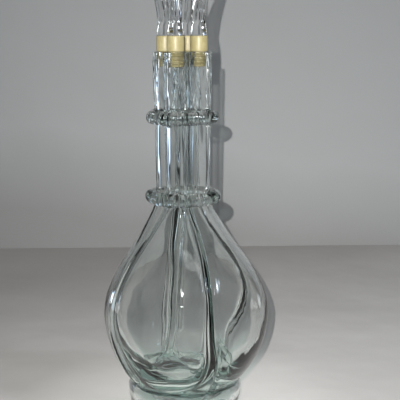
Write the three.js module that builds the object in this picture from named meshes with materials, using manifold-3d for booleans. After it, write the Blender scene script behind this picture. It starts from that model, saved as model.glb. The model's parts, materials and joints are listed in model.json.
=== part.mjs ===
// A four-chamber decanter: four blown glass bottles fused side by side into one round belly and a
// bundle of four necks, with two glass rings run round the necks, a thick glass foot ring, and in
// each neck a solid glass finial held by a ribbed plastic sleeve.
// Millimetres and degrees, +Z up. The table is at z = 0 and the decanter's axis is the Z axis.
import * as THREE from "three";
import { mergeVertices } from "three/addons/utils/BufferGeometryUtils.js";
import Module from "manifold-3d";

const wasm = await Module();
wasm.setup();

// Body sizes
const BELLY_RADIUS = 62.5;
const BELLY_HEIGHT = 80;
const BASE_HEIGHT = 13;
const NECK_FOOT_HEIGHT = 168;
const LIP_HEIGHT = 275;
const BORE_RADIUS = 5.6;

// Handles of the two curves of the belly's outline, from its widest level to the necks and the base
const SHOULDER_HANDLE = 31;
const NECK_HANDLE = 19.5;
const BOWL_HANDLE = 35;
const BASE_HANDLE = 43;

// Glass thicknesses and the radii that round each bottle off into the seams
const OUTER_WALL = 3.2;
const SIDE_WALL = 2;
const NECK_FOOT_WALL = 3;
const NECK_LIP_WALL = 3.7;
const SEAM_RADIUS = 3.5;
const CAVITY_CORNER_RADIUS = 8.5;
const SEAM_FOOT_RADIUS = 5;
const FLOOR_RADIUS = 9;
const LIP_ROUNDING = 1.3;
const LIP_FLARE = 0.65;
const NECK_BLEND_LENGTH = 56;

// The directions of the four seams, counted from -Y towards +X: at the necks, and down in the belly,
// where the hand-blown chambers aren't quite equal
const NECK_SEAMS = [-90, 0, 90, 180];
const BELLY_SEAMS = [-92, -6, 95, 172];

// Rings, the upper one placed from the lip and the lower one from the necks' foot
const UPPER_RING_DROP = 47.5;
const LOWER_RING_RISE = 0.5;
const RING_REACH = 4.9;
const RING_BEAD_RADIUS = 4.9;
const RING_LOBE = 0.45;

// Foot: its top and its widest level are placed from the base of the bowl
const FOOT_RADIUS = 43.5;
const FOOT_TOP_RISE = 13.5;
const FOOT_BULGE_RISE = 5;
const FOOT_FLANK_HEIGHT = 4.5;
const FOOT_EDGE = 1;
const FOOT_STAND_INSET = 6.5;
const FOOT_STAND_WIDTH = 7;
const FOOT_HOLLOW_DRAFT = 1.5;

// Stoppers
const SLEEVE_LEDGE = 0.8;
const SLEEVE_HEAD_HEIGHT = 11.2;
const PLUG_LENGTH = 10.7;
const PLUG_FIT = 0.6;
const RIB_FIT = 0.35;
const RIB_COUNT = 3;
const SLEEVE_EDGE = 0.5;
const SLEEVE_WALL = 0.7;
const SLEEVE_FLOOR = 3.2;
const FINIAL_BASE_INSET = 0.4;
const FINIAL_SHOULDER_RADIUS = 5.2;
const FINIAL_SHOULDER_HEIGHT = 9;
const FINIAL_BLADE_RADIUS = 5.6;
const FINIAL_HEIGHT = 58;
const FINIAL_OUTSWING = 15.5;
const FINIAL_STRAIGHT_HEIGHT = 27.3;
const FINIAL_BEND_HEIGHT = 40.6;
const FINIAL_BEND_REACH = 8.5;
const FINIAL_FLUTES = 6;
const FLUTE_DEPTH = 0.14;
const BLADE_TAPER = 1.1;

// Free space left between two pieces that touch
const CLEARANCE = 0.3;

// Facet counts
const CORNER_STEPS = 6;
const ARC_STEPS = 6;
const SIDE_STEPS = 3;
const APEX_STEPS = 4;
const BELLY_LEVELS = 12;
const NECK_LEVELS = 3;
const LIP_LEVELS = 2;
const RING_STEPS = 40;
const BEAD_STEPS = 10;
const FOOT_STEPS = 48;
const FLANK_STEPS = 5;
const SEAT_STEPS = 4;
const SLEEVE_STEPS = 16;
const BLADE_LEVELS = 11;
const LEVEL_BIAS = 1.35;
const SEARCH_STEPS = 40;

// What follows from the sizes above
const PLUG_RADIUS = BORE_RADIUS - PLUG_FIT;
const SPIGOT_RADIUS = PLUG_RADIUS - SLEEVE_WALL - CLEARANCE;
const SLEEVE_RADIUS = BORE_RADIUS + SLEEVE_LEDGE;
const SOCKET_FLOOR_HEIGHT = SLEEVE_FLOOR - PLUG_LENGTH;
const SLEEVE_TOP_HEIGHT = CLEARANCE + SLEEVE_HEAD_HEIGHT;

const CHAMBER_COUNT = 4;
const QUARTER = Math.PI / 2;
const FULL_TURN = 2 * Math.PI;
const { lerp, smoothstep, degToRad } = THREE.MathUtils;

const GLASS_BODY = { color: 0xc9d3cd, roughness: 0.04, metalness: 0, transparent: true, opacity: 0.4 };
const GLASS_RING = { color: 0xbfcac4, roughness: 0.05, metalness: 0, transparent: true, opacity: 0.55 };
const GLASS_FINIAL = { color: 0xdde4e4, roughness: 0.03, metalness: 0, transparent: true, opacity: 0.5 };
const SLEEVE_PLASTIC = { color: 0xe6dcab, roughness: 0.4, metalness: 0 };

// A unit vector at an angle counted from -Y towards +X
function direction(angle) {
  return new THREE.Vector2(Math.sin(angle), -Math.cos(angle));
}

function neckRadius(height) {
  return BORE_RADIUS + lerp(NECK_FOOT_WALL, NECK_LIP_WALL, smoothstep(height, NECK_FOOT_HEIGHT, LIP_HEIGHT));
}

// How far a neck's centre stands from both seams beside it
function neckOffset(height) {
  return CLEARANCE / 2 + neckRadius(height);
}

// How far the outermost point of the bundle of necks is from the axis
function bundleRadius(height) {
  return neckOffset(height) * Math.SQRT2 + neckRadius(height);
}

// The belly's outline as two curves: the bowl, from the base to the widest level, and the shoulder
const bowl = new THREE.CubicBezierCurve(
  new THREE.Vector2(0, BASE_HEIGHT),
  new THREE.Vector2(BASE_HANDLE, BASE_HEIGHT),
  new THREE.Vector2(BELLY_RADIUS, BELLY_HEIGHT - BOWL_HANDLE),
  new THREE.Vector2(BELLY_RADIUS, BELLY_HEIGHT),
);
const shoulder = new THREE.CubicBezierCurve(
  new THREE.Vector2(BELLY_RADIUS, BELLY_HEIGHT),
  new THREE.Vector2(BELLY_RADIUS, BELLY_HEIGHT + SHOULDER_HANDLE),
  new THREE.Vector2(bundleRadius(NECK_FOOT_HEIGHT), NECK_FOOT_HEIGHT - NECK_HANDLE),
  new THREE.Vector2(bundleRadius(NECK_FOOT_HEIGHT), NECK_FOOT_HEIGHT),
);

// A point on the outline, moved inwards by a depth: t runs from 0 at the base to 1 at the neck's foot
function outlinePoint(t, depth) {
  const curve = t < 0.5 ? bowl : shoulder;
  const along = t < 0.5 ? 2 * t : 2 * t - 1;
  const tangent = curve.getTangent(along);
  const point = curve.getPoint(along);
  return new THREE.Vector2(point.x - depth * tangent.y, point.y + depth * tangent.x);
}

// The radius of the outline at a height in the bowl
function bowlRadius(height, depth) {
  let low = 0;
  let high = 0.5;
  for (let i = 0; i < SEARCH_STEPS; i++) {
    const middle = (low + high) / 2;
    if (outlinePoint(middle, depth).y < height) low = middle;
    else high = middle;
  }
  return outlinePoint(low, depth).x;
}

// 0 down in the belly and 1 in the necks
function neckness(height) {
  return smoothstep(height, NECK_FOOT_HEIGHT - NECK_BLEND_LENGTH, NECK_FOOT_HEIGHT);
}

// The angle of a seam at a height. The list repeats after a full turn.
function seamAngle(index, height) {
  const turn = Math.floor(index / CHAMBER_COUNT) * 360;
  const k = index % CHAMBER_COUNT;
  return degToRad(turn + lerp(BELLY_SEAMS[k], NECK_SEAMS[k], neckness(height)));
}

// The largest rounding that a wedge of this size can take, which makes it a circle
function fullRounding(radius, offset, half) {
  return Math.max(0, (radius * Math.sin(half) - offset) / (1 + Math.sin(half)));
}

function arc(centre, radius, from, to, steps) {
  const points = [];
  for (let i = 0; i <= steps; i++) {
    const angle = lerp(from, to, i / steps);
    points.push(centre.clone().addScaledVector(direction(angle), radius));
  }
  return points;
}

function between(a, b, steps) {
  const points = [];
  for (let i = 1; i < steps; i++) points.push(a.clone().lerp(b, i / steps));
  return points;
}

// A chamber's level outline: a wedge between two seams, held back from both by an offset, out to a
// radius, with its three corners rounded. With the full rounding it is a circle, as in the necks.
function wedge(chamber, { height, radius, offset, rounding }) {
  const start = seamAngle(chamber, height);
  const end = seamAngle(chamber + 1, height);
  const half = (end - start) / 2;
  const r = Math.min(rounding, fullRounding(radius, offset, half));
  const lean = Math.asin(Math.min(Math.sin(half), (offset + r) / (radius - r)));
  const firstCentre = direction(start + lean).multiplyScalar(radius - r);
  const lastCentre = direction(end - lean).multiplyScalar(radius - r);
  const first = arc(firstCentre, r, start - QUARTER, start + lean, CORNER_STEPS);
  const rim = arc(new THREE.Vector2(), radius, start + lean, end - lean, ARC_STEPS).slice(1, -1);
  const last = arc(lastCentre, r, end - lean, end + QUARTER, CORNER_STEPS);
  const heart = direction(start + half).multiplyScalar((offset + r) / Math.sin(half));
  const apex = arc(heart, r, end + QUARTER, start + 3 * QUARTER, APEX_STEPS);
  const sides = [between(last.at(-1), apex[0], SIDE_STEPS), between(apex.at(-1), first[0], SIDE_STEPS)];
  const outline = [...first, ...rim, ...last, ...sides[0], ...apex, ...sides[1]];
  return outline.map((p) => new THREE.Vector3(p.x, p.y, height));
}

// A quarter-round edge: how far the side stands back at a height above the lowest point
function edgeSetback(height, lowest, radius) {
  const left = Math.max(0, 1 - (height - lowest) / radius);
  return radius * (1 - Math.sqrt(1 - Math.min(1, left) ** 2));
}

// The section of the outer skin at a place along the outline
function outerSection(t) {
  const point = outlinePoint(t, 0);
  const offset = CLEARANCE / 2 + edgeSetback(point.y, BASE_HEIGHT, SEAM_FOOT_RADIUS);
  const rounding = lerp(SEAM_RADIUS, neckRadius(point.y), neckness(point.y));
  return { height: point.y, radius: point.x, offset, rounding };
}

// The section of the hollow inside, one wall further in
function innerSection(t) {
  const blend = neckness(outlinePoint(t, 0).y);
  const point = outlinePoint(t, lerp(OUTER_WALL, NECK_FOOT_WALL, blend));
  const floor = BASE_HEIGHT + OUTER_WALL;
  const wall = CLEARANCE / 2 + lerp(SIDE_WALL, NECK_FOOT_WALL, neckness(point.y));
  const offset = wall + edgeSetback(point.y, floor, FLOOR_RADIUS);
  const rounding = lerp(CAVITY_CORNER_RADIUS, BORE_RADIUS, neckness(point.y));
  return { height: point.y, radius: point.x, offset, rounding };
}

// The half angle of a chamber's wedge at a height, and the direction of its middle
function halfAngle(chamber, height) {
  return (seamAngle(chamber + 1, height) - seamAngle(chamber, height)) / 2;
}

function middleDirection(chamber, height) {
  return direction(seamAngle(chamber, height) + halfAngle(chamber, height));
}

// Where a skin's lowest point lies along the outline: there the wedge has shrunk to nothing
function lowestPlace(chamber, section) {
  let low = 0;
  let high = 0.5;
  for (let i = 0; i < SEARCH_STEPS; i++) {
    const middle = (low + high) / 2;
    const s = section(middle);
    if (s.radius * Math.sin(halfAngle(chamber, s.height)) > s.offset) high = middle;
    else low = middle;
  }
  return high;
}

// The level sections of a skin from just above its lowest point up to the neck's foot
function bellySections(chamber, section) {
  const start = lowestPlace(chamber, section);
  const sections = [];
  for (let i = 1; i <= BELLY_LEVELS; i++) {
    const share = (i / BELLY_LEVELS) ** LEVEL_BIAS;
    sections.push(section(lerp(start, 1, share)));
  }
  return sections;
}

// The rings of a skin, and the point that closes it at the bottom
function bellySkin(chamber, section) {
  const rings = bellySections(chamber, section).map((s) => wedge(chamber, s));
  const s = section(lowestPlace(chamber, section));
  const reach = s.offset / Math.sin(halfAngle(chamber, s.height));
  const p = middleDirection(chamber, s.height).multiplyScalar(reach);
  return { rings, pole: new THREE.Vector3(p.x, p.y, s.height) };
}

// A round level outline in a neck
function neckRing(chamber, height, radius) {
  const middle = neckOffset(height);
  const size = { radius: middle * Math.SQRT2 + radius, offset: middle - radius, rounding: radius };
  return wedge(chamber, { height, ...size });
}

// The rings of one neck: up its outside, over the rounded lip and down its bore
function neckSkin(chamber) {
  const outside = [];
  const bore = [];
  const top = LIP_HEIGHT - LIP_ROUNDING;
  for (let i = 1; i <= NECK_LEVELS; i++) {
    const height = lerp(NECK_FOOT_HEIGHT, top, i / NECK_LEVELS);
    outside.push(neckRing(chamber, height, neckRadius(height)));
    bore.unshift(neckRing(chamber, height, BORE_RADIUS));
  }
  for (let i = 1; i <= LIP_LEVELS; i++) {
    const angle = (i / LIP_LEVELS) * QUARTER;
    const height = top + LIP_ROUNDING * Math.sin(angle);
    const turned = 1 - Math.cos(angle);
    outside.push(neckRing(chamber, height, neckRadius(height) - LIP_ROUNDING * turned));
    bore.unshift(neckRing(chamber, height, BORE_RADIUS + LIP_FLARE * turned));
  }
  return [...outside, ...bore];
}

// A closed surface over rings of equal length, each end closed at a point. Triangles with no area,
// where an outline's side has shrunk to nothing, are left out.
function closedSkin(rings, firstPole, lastPole) {
  const points = [firstPole, ...rings.flat(), lastPole];
  const size = rings[0].length;
  const corners = [];
  for (let k = 0; k < size; k++) {
    const next = (k + 1) % size;
    corners.push(0, 1 + next, 1 + k);
    for (let i = 0; i + 1 < rings.length; i++) {
      const a = 1 + i * size;
      const b = a + size;
      corners.push(a + k, a + next, b + next, a + k, b + next, b + k);
    }
    const top = 1 + (rings.length - 1) * size;
    corners.push(top + k, top + next, points.length - 1);
  }
  const geometry = new THREE.BufferGeometry().setFromPoints(points);
  geometry.setIndex(corners);
  return withoutSlivers(mergeVertices(geometry, 1e-3));
}

function withoutSlivers(geometry) {
  const index = geometry.index.array;
  const kept = [];
  for (let i = 0; i < index.length; i += 3) {
    const [a, b, c] = index.slice(i, i + 3);
    if (a !== b && b !== c && c !== a) kept.push(a, b, c);
  }
  return geometry.setIndex(kept);
}

// One bottle: belly chamber and neck in one closed surface, open at the lip
function chamberGeometry(chamber) {
  const outside = bellySkin(chamber, outerSection);
  const inside = bellySkin(chamber, innerSection);
  const rings = [...outside.rings, ...neckSkin(chamber), ...inside.rings.reverse()];
  return closedSkin(rings, outside.pole, inside.pole);
}

function solidOf(geometry) {
  const plain = geometry.clone();
  plain.deleteAttribute("normal");
  plain.deleteAttribute("uv");
  const merged = mergeVertices(plain, 1e-3);
  const triVerts = new Uint32Array(merged.index.array);
  const vertProperties = merged.attributes.position.array;
  return new wasm.Manifold(new wasm.Mesh({ numProp: 3, vertProperties, triVerts }));
}

function geometryOf(solid) {
  const mesh = solid.getMesh();
  const geometry = new THREE.BufferGeometry();
  geometry.setAttribute("position", new THREE.BufferAttribute(mesh.vertProperties, 3));
  geometry.setIndex(new THREE.BufferAttribute(mesh.triVerts, 1));
  return geometry;
}

// The space that one neck and the shoulder under it take up, grown by the clearance
function neckSpace(chamber) {
  const shoulders = bellySections(chamber, outerSection).filter((s) => s.height > BELLY_HEIGHT);
  const rings = shoulders.map(({ height, radius, offset, rounding }) => {
    const grown = { radius: radius + CLEARANCE, rounding: rounding + CLEARANCE };
    return wedge(chamber, { height, offset: offset - CLEARANCE, ...grown });
  });
  for (let i = 1; i <= NECK_LEVELS; i++) {
    const height = lerp(NECK_FOOT_HEIGHT, LIP_HEIGHT - LIP_ROUNDING, i / NECK_LEVELS);
    rings.push(neckRing(chamber, height, neckRadius(height) + CLEARANCE));
  }
  const foot = neckCentre(chamber, rings[0][0].z);
  const top = neckCentre(chamber, rings.at(-1)[0].z);
  return solidOf(closedSkin(rings, foot, top));
}

function neckCentre(chamber, height) {
  const p = middleDirection(chamber, height).multiplyScalar(neckOffset(height) * Math.SQRT2);
  return new THREE.Vector3(p.x, p.y, height);
}

// A glass trail laid round the bundle: a round bead that swells a little over each neck and sinks
// into the grooves between them, cut to the outside of the necks
function ringGeometry(height) {
  const reach = bundleRadius(height) + RING_REACH - RING_BEAD_RADIUS;
  const points = [];
  const corners = [];
  for (let i = 0; i < RING_STEPS; i++) {
    const angle = (i / RING_STEPS) * FULL_TURN;
    const middle = reach - RING_LOBE * Math.cos(CHAMBER_COUNT * angle);
    const out = direction(angle);
    for (let j = 0; j < BEAD_STEPS; j++) {
      const turn = (j / BEAD_STEPS) * FULL_TURN;
      const r = middle + RING_BEAD_RADIUS * Math.cos(turn);
      const level = height + RING_BEAD_RADIUS * Math.sin(turn);
      points.push(new THREE.Vector3(out.x * r, out.y * r, level));
      const a = i * BEAD_STEPS + j;
      const b = i * BEAD_STEPS + ((j + 1) % BEAD_STEPS);
      const c = ((i + 1) % RING_STEPS) * BEAD_STEPS + ((j + 1) % BEAD_STEPS);
      const d = ((i + 1) % RING_STEPS) * BEAD_STEPS + j;
      corners.push(a, c, b, a, d, c);
    }
  }
  const bead = new THREE.BufferGeometry().setFromPoints(points);
  bead.setIndex(corners);
  let solid = solidOf(bead);
  for (let chamber = 0; chamber < CHAMBER_COUNT; chamber++) solid = solid.subtract(neckSpace(chamber));
  return geometryOf(solid);
}

// The foot ring: rounded outside, hollow underneath, with a seat that follows the bowl
function footGeometry() {
  const standOuter = FOOT_RADIUS - FOOT_STAND_INSET;
  const standInner = standOuter - FOOT_STAND_WIDTH;
  const outline = [new THREE.Vector2(standInner, 0)];
  const flank = new THREE.QuadraticBezierCurve(
    new THREE.Vector2(standOuter, 0),
    new THREE.Vector2(FOOT_RADIUS, FOOT_FLANK_HEIGHT),
    new THREE.Vector2(FOOT_RADIUS, BASE_HEIGHT + FOOT_BULGE_RISE),
  );
  outline.push(...flank.getPoints(FLANK_STEPS));
  const seatTop = BASE_HEIGHT + FOOT_TOP_RISE;
  outline.push(new THREE.Vector2(bowlRadius(seatTop, -CLEARANCE) + FOOT_EDGE, seatTop));
  const seatFoot = BASE_HEIGHT + SEAM_FOOT_RADIUS;
  for (let i = 0; i <= SEAT_STEPS; i++) {
    const height = lerp(seatTop, seatFoot, i / SEAT_STEPS);
    outline.push(new THREE.Vector2(bowlRadius(height, -CLEARANCE), height));
  }
  outline.push(new THREE.Vector2(standInner + FOOT_HOLLOW_DRAFT, BASE_HEIGHT - SEAM_FOOT_RADIUS));
  outline.push(outline[0].clone());
  return upright(new THREE.LatheGeometry(outline, FOOT_STEPS));
}

// A lathe's axis is Y: this stands it up along Z
function upright(geometry) {
  return geometry.rotateX(QUARTER);
}

// A plastic sleeve: a head that rests on the lip, a ribbed plug in the bore, and a socket for the
// finial's spigot that is open at the top. Its zero level is the lip.
function sleeveGeometry() {
  const rib = BORE_RADIUS - RIB_FIT;
  const socket = SPIGOT_RADIUS + CLEARANCE;
  const top = SLEEVE_TOP_HEIGHT;
  const foot = -PLUG_LENGTH;
  const outline = [new THREE.Vector2(0, foot), new THREE.Vector2(PLUG_RADIUS - SLEEVE_EDGE, foot)];
  outline.push(new THREE.Vector2(PLUG_RADIUS, foot + SLEEVE_EDGE));
  const pitch = PLUG_LENGTH / (RIB_COUNT + 1);
  for (let i = 1; i <= RIB_COUNT; i++) {
    const level = foot + i * pitch;
    outline.push(new THREE.Vector2(PLUG_RADIUS, level - SLEEVE_EDGE));
    outline.push(new THREE.Vector2(rib, level));
    outline.push(new THREE.Vector2(PLUG_RADIUS, level + SLEEVE_EDGE));
  }
  outline.push(new THREE.Vector2(PLUG_RADIUS, CLEARANCE));
  outline.push(new THREE.Vector2(SLEEVE_RADIUS - SLEEVE_EDGE, CLEARANCE));
  outline.push(new THREE.Vector2(SLEEVE_RADIUS, CLEARANCE + SLEEVE_EDGE));
  outline.push(new THREE.Vector2(SLEEVE_RADIUS, top - SLEEVE_EDGE));
  outline.push(new THREE.Vector2(SLEEVE_RADIUS - SLEEVE_EDGE, top));
  outline.push(new THREE.Vector2(socket, top));
  outline.push(new THREE.Vector2(socket, SOCKET_FLOOR_HEIGHT));
  outline.push(new THREE.Vector2(0, SOCKET_FLOOR_HEIGHT));
  return upright(new THREE.LatheGeometry(outline, SLEEVE_STEPS));
}

// The finial's path in the plane through the decanter's axis: straight up, then bending outwards.
// x is the distance outwards from the neck's axis and y the height above the sleeve's top.
const swing = new THREE.CubicBezierCurve(
  new THREE.Vector2(0, FINIAL_SHOULDER_HEIGHT),
  new THREE.Vector2(0, FINIAL_STRAIGHT_HEIGHT),
  new THREE.Vector2(FINIAL_BEND_REACH, FINIAL_BEND_HEIGHT),
  new THREE.Vector2(FINIAL_OUTSWING, FINIAL_HEIGHT),
);

// One ring of the finial, square to its path, with flutes of the given depth
function fluted(centre, tangent, radius, depth) {
  const points = [];
  const steps = 2 * FINIAL_FLUTES;
  for (let i = 0; i < steps; i++) {
    const angle = (i / steps) * FULL_TURN;
    const r = radius * (1 - (i % 2) * depth);
    const across = r * Math.cos(angle);
    const x = centre.x + across * tangent.y;
    const z = centre.y - across * tangent.x;
    points.push(new THREE.Vector3(x, r * Math.sin(angle), z));
  }
  return points;
}

// A solid glass finial: a spigot, a plain tapering base on the sleeve, a shoulder and a fluted,
// outward-curving blade. Its zero level is the sleeve's top and it bends towards +X.
function finialGeometry() {
  const up = new THREE.Vector2(0, 1);
  const foot = SOCKET_FLOOR_HEIGHT + CLEARANCE - SLEEVE_TOP_HEIGHT;
  const plain = (height, radius) => fluted(new THREE.Vector2(0, height), up, radius, 0);
  const rings = [plain(foot, SPIGOT_RADIUS - SLEEVE_EDGE), plain(foot + SLEEVE_EDGE, SPIGOT_RADIUS)];
  rings.push(plain(CLEARANCE, SPIGOT_RADIUS), plain(CLEARANCE, SLEEVE_RADIUS - FINIAL_BASE_INSET));
  rings.push(plain(FINIAL_SHOULDER_HEIGHT - SLEEVE_EDGE, FINIAL_SHOULDER_RADIUS));
  for (let i = 0; i < BLADE_LEVELS; i++) {
    const s = i / BLADE_LEVELS;
    const radius = FINIAL_BLADE_RADIUS * Math.cos(QUARTER * s ** BLADE_TAPER);
    rings.push(fluted(swing.getPoint(s), swing.getTangent(s), radius, FLUTE_DEPTH));
  }
  const tip = swing.getPoint(1);
  const first = new THREE.Vector3(0, 0, foot);
  return closedSkin(rings, first, new THREE.Vector3(tip.x, 0, tip.y));
}

function piece(name, geometry, finish) {
  const mesh = new THREE.Mesh(geometry, new THREE.MeshStandardMaterial(finish));
  mesh.name = name;
  return mesh;
}

// A sleeve and its finial on the axis of one neck
function stopper(chamber) {
  const group = new THREE.Group();
  group.position.copy(neckCentre(chamber, LIP_HEIGHT));
  const sleeve = piece(`stopper_sleeve_${chamber + 1}`, sleeveGeometry(), SLEEVE_PLASTIC);
  const finial = piece(`finial_${chamber + 1}`, finialGeometry(), GLASS_FINIAL);
  finial.position.z = SLEEVE_TOP_HEIGHT;
  finial.rotation.z = Math.atan2(group.position.y, group.position.x);
  group.add(sleeve, finial);
  return group;
}

function decanter() {
  const whole = new THREE.Group();
  for (let chamber = 0; chamber < CHAMBER_COUNT; chamber++) {
    whole.add(piece(`chamber_${chamber + 1}`, chamberGeometry(chamber), GLASS_BODY));
    whole.add(stopper(chamber));
  }
  const upperRing = ringGeometry(LIP_HEIGHT - UPPER_RING_DROP);
  const lowerRing = ringGeometry(NECK_FOOT_HEIGHT + LOWER_RING_RISE);
  whole.add(piece("upper_neck_ring", upperRing, GLASS_RING));
  whole.add(piece("lower_neck_ring", lowerRing, GLASS_RING));
  whole.add(piece("foot_ring", footGeometry(), GLASS_RING));
  return whole;
}

export default decanter();
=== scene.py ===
# %% [markdown]
# # A four-chamber decanter in Blender
# The decanter is four blown bottles fused side by side: four hollow chambers make one round belly,
# and their four necks stand in a bundle, bound by two glass trails. A thick glass foot carries it,
# and every neck is closed by a solid glass finial in a ribbed plastic sleeve. These cells rebuild it
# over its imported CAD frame. Lengths are written in millimetres and become metres when a mesh is made.

import json
import math

import bmesh
import bpy
import numpy as np
from mathutils import Matrix, Vector

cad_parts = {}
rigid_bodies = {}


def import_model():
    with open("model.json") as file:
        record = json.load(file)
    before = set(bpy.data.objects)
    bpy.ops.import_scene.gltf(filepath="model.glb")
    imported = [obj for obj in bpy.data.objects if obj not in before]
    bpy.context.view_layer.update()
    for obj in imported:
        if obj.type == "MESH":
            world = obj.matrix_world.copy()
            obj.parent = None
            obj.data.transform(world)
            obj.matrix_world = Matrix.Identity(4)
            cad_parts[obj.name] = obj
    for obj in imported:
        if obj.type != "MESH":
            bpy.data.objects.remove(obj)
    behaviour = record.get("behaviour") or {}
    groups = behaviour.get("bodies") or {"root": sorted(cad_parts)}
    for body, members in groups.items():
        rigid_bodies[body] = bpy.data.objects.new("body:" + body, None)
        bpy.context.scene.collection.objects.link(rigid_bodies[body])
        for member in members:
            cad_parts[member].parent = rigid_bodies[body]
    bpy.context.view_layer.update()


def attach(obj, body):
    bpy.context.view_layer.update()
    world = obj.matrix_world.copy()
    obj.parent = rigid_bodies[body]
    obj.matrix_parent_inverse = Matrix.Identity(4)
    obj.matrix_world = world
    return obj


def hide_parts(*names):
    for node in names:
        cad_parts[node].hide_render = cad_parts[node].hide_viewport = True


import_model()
MM = 0.001

# %% [markdown]
# ## The camera
# The picture was taken by hand from a little above the belly, close enough for perspective to show
# in the rings. Its distance, height and pitch were found by fitting the two rings, the lips and the
# belly's outline. The camera looks slightly past the axis, because the decanter stands left of the
# middle of the picture. A turn does that without a lens shift.

# %% Camera
CAMERA_AZIMUTH = -25.0
CAMERA_DISTANCE = 674.7
CAMERA_HEIGHT = 286.4
CAMERA_PITCH = 10.2
CAMERA_TURN = 1.07
CAMERA_ROLL = -0.3
FOCAL_PIXELS = 914
PICTURE_PIXELS = 400
SENSOR = 36.0


def direction(angle):
    """Unit vectors at angles in radians, counted from -Y towards +X."""
    return np.stack([np.sin(angle), -np.cos(angle)], -1)


def place(obj):
    """Puts an object into the scene."""
    bpy.context.scene.collection.objects.link(obj)
    return obj


camera = place(bpy.data.objects.new("camera", bpy.data.cameras.new("camera")))
stand = direction(math.radians(CAMERA_AZIMUTH)) * CAMERA_DISTANCE
camera.location = (stand[0] * MM, stand[1] * MM, CAMERA_HEIGHT * MM)
heading = Matrix.Rotation(math.radians(CAMERA_AZIMUTH - CAMERA_TURN), 4, "Z")
pitch = Matrix.Rotation(math.radians(90 - CAMERA_PITCH), 4, "X")
roll = Matrix.Rotation(math.radians(CAMERA_ROLL), 4, "Z")
camera.rotation_euler = (heading @ pitch @ roll).to_euler()
camera.data.sensor_width = SENSOR
camera.data.lens = FOCAL_PIXELS / PICTURE_PIXELS * SENSOR
bpy.context.scene.camera = camera
print("camera at", [round(x, 3) for x in camera.location], "lens", round(camera.data.lens, 1), "mm")

# %% [markdown]
# ## Helpers for meshes
# Glass shows every fault of its mesh, so the surfaces are made as tidy grids of quads with shared
# points, and only the places where two shapes meet are left to a Boolean. A skin gathers the grids
# as plain points and faces and turns them into one closed mesh with its normals outwards. The last
# helper gives a piece its finish and says which body it rides on.


# %% Grids and meshes
WELD = 0.002  # points closer than this, in mm, are one point


def grid_faces(rows, columns, closed=True):
    """Quads between the rows of a grid whose rows are loops, or open strips."""
    i, j = np.meshgrid(np.arange(rows - 1), np.arange(columns if closed else columns - 1), indexing="ij")
    k = (j + 1) % columns
    quads = np.stack([i * columns + j, i * columns + k, (i + 1) * columns + k, (i + 1) * columns + j], -1)
    return quads.reshape(-1, 4).tolist()


class Skin:
    """Points and faces that are gathered patch by patch."""

    def __init__(self):
        self.points = []
        self.faces = []
        self.count = 0

    def patch(self, rows, closed=True, first=None, last=None):
        """Adds a grid of rows of points, and a fan to a point below its first or above its last row."""
        rows = np.asarray(rows, float)
        n, m = rows.shape[:2]
        base = self.count
        self.points.append(rows.reshape(-1, 3))
        self.faces += [[base + v for v in f] for f in grid_faces(n, m, closed)]
        self.count += n * m
        for point, row in ((first, base), (last, base + (n - 1) * m)):
            if point is None:
                continue
            self.points.append(np.asarray(point, float).reshape(1, 3))
            for j in range(m if closed else m - 1):
                self.faces.append([self.count, row + (j + 1) % m, row + j])
            self.count += 1

    def mesh(self, name):
        """The closed mesh, with welded seams and its normals outwards."""
        mesh = bpy.data.meshes.new(name)
        mesh.from_pydata((np.concatenate(self.points) * MM).tolist(), [], self.faces)
        return tidy(mesh)


def tidy(mesh):
    """Welds doubled points, drops faces that shrank to nothing and turns the normals outwards."""
    bm = bmesh.new()
    bm.from_mesh(mesh)
    bmesh.ops.remove_doubles(bm, verts=bm.verts, dist=WELD * MM)
    bmesh.ops.dissolve_degenerate(bm, edges=bm.edges, dist=WELD * MM / 4)
    bmesh.ops.recalc_face_normals(bm, faces=bm.faces)
    bm.to_mesh(mesh)
    bm.free()
    return mesh


def open_edges(mesh):
    """How many edges don't have exactly two faces."""
    bm = bmesh.new()
    bm.from_mesh(mesh)
    count = sum(not e.is_manifold for e in bm.edges)
    bm.free()
    return count


def finished(obj, body, material, nodes):
    """Gives a piece its finish and its body, and hides the CAD parts that it stands for."""
    obj.data.materials.clear()
    obj.data.materials.append(material)
    obj.data.shade_smooth()
    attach(obj, body)
    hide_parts(*nodes)
    print(obj.name, len(obj.data.polygons), "faces, open edges:", open_edges(obj.data))
    return obj


# %% [markdown]
# ## The belly's outline
# The outline was measured from the picture: its radius at a number of heights, from under the foot
# to the place where the four necks part. A smooth curve through those points gives the radius and
# the slope anywhere, so that the inside can be one glass wall further in. The same curve serves the
# outside and all four hollows.

# %% Outline
BASE_HEIGHT = 13.0
NECK_FOOT_HEIGHT = 168.0
LIP_HEIGHT = 275.0
BORE_RADIUS = 5.6
NECK_FOOT_RADIUS = 8.6
NECK_LIP_RADIUS = 9.3
BELLY_HEIGHT = 80.0
OUTLINE = [  # height, radius
    (13, 0), (13.2, 14), (15.2, 22.6), (18.4, 28.8), (23.5, 36.4), (31, 44.6), (44, 53.4), (58, 59.2), (70, 61.9),
    (80, 62.6), (92, 60.9), (104, 56.3), (116, 49.7), (128, 41.6), (140, 33.5), (152, 26.3), (162, 21.9), (168, 20.8),
]
OUTLINE_SAMPLES = 1200


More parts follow.
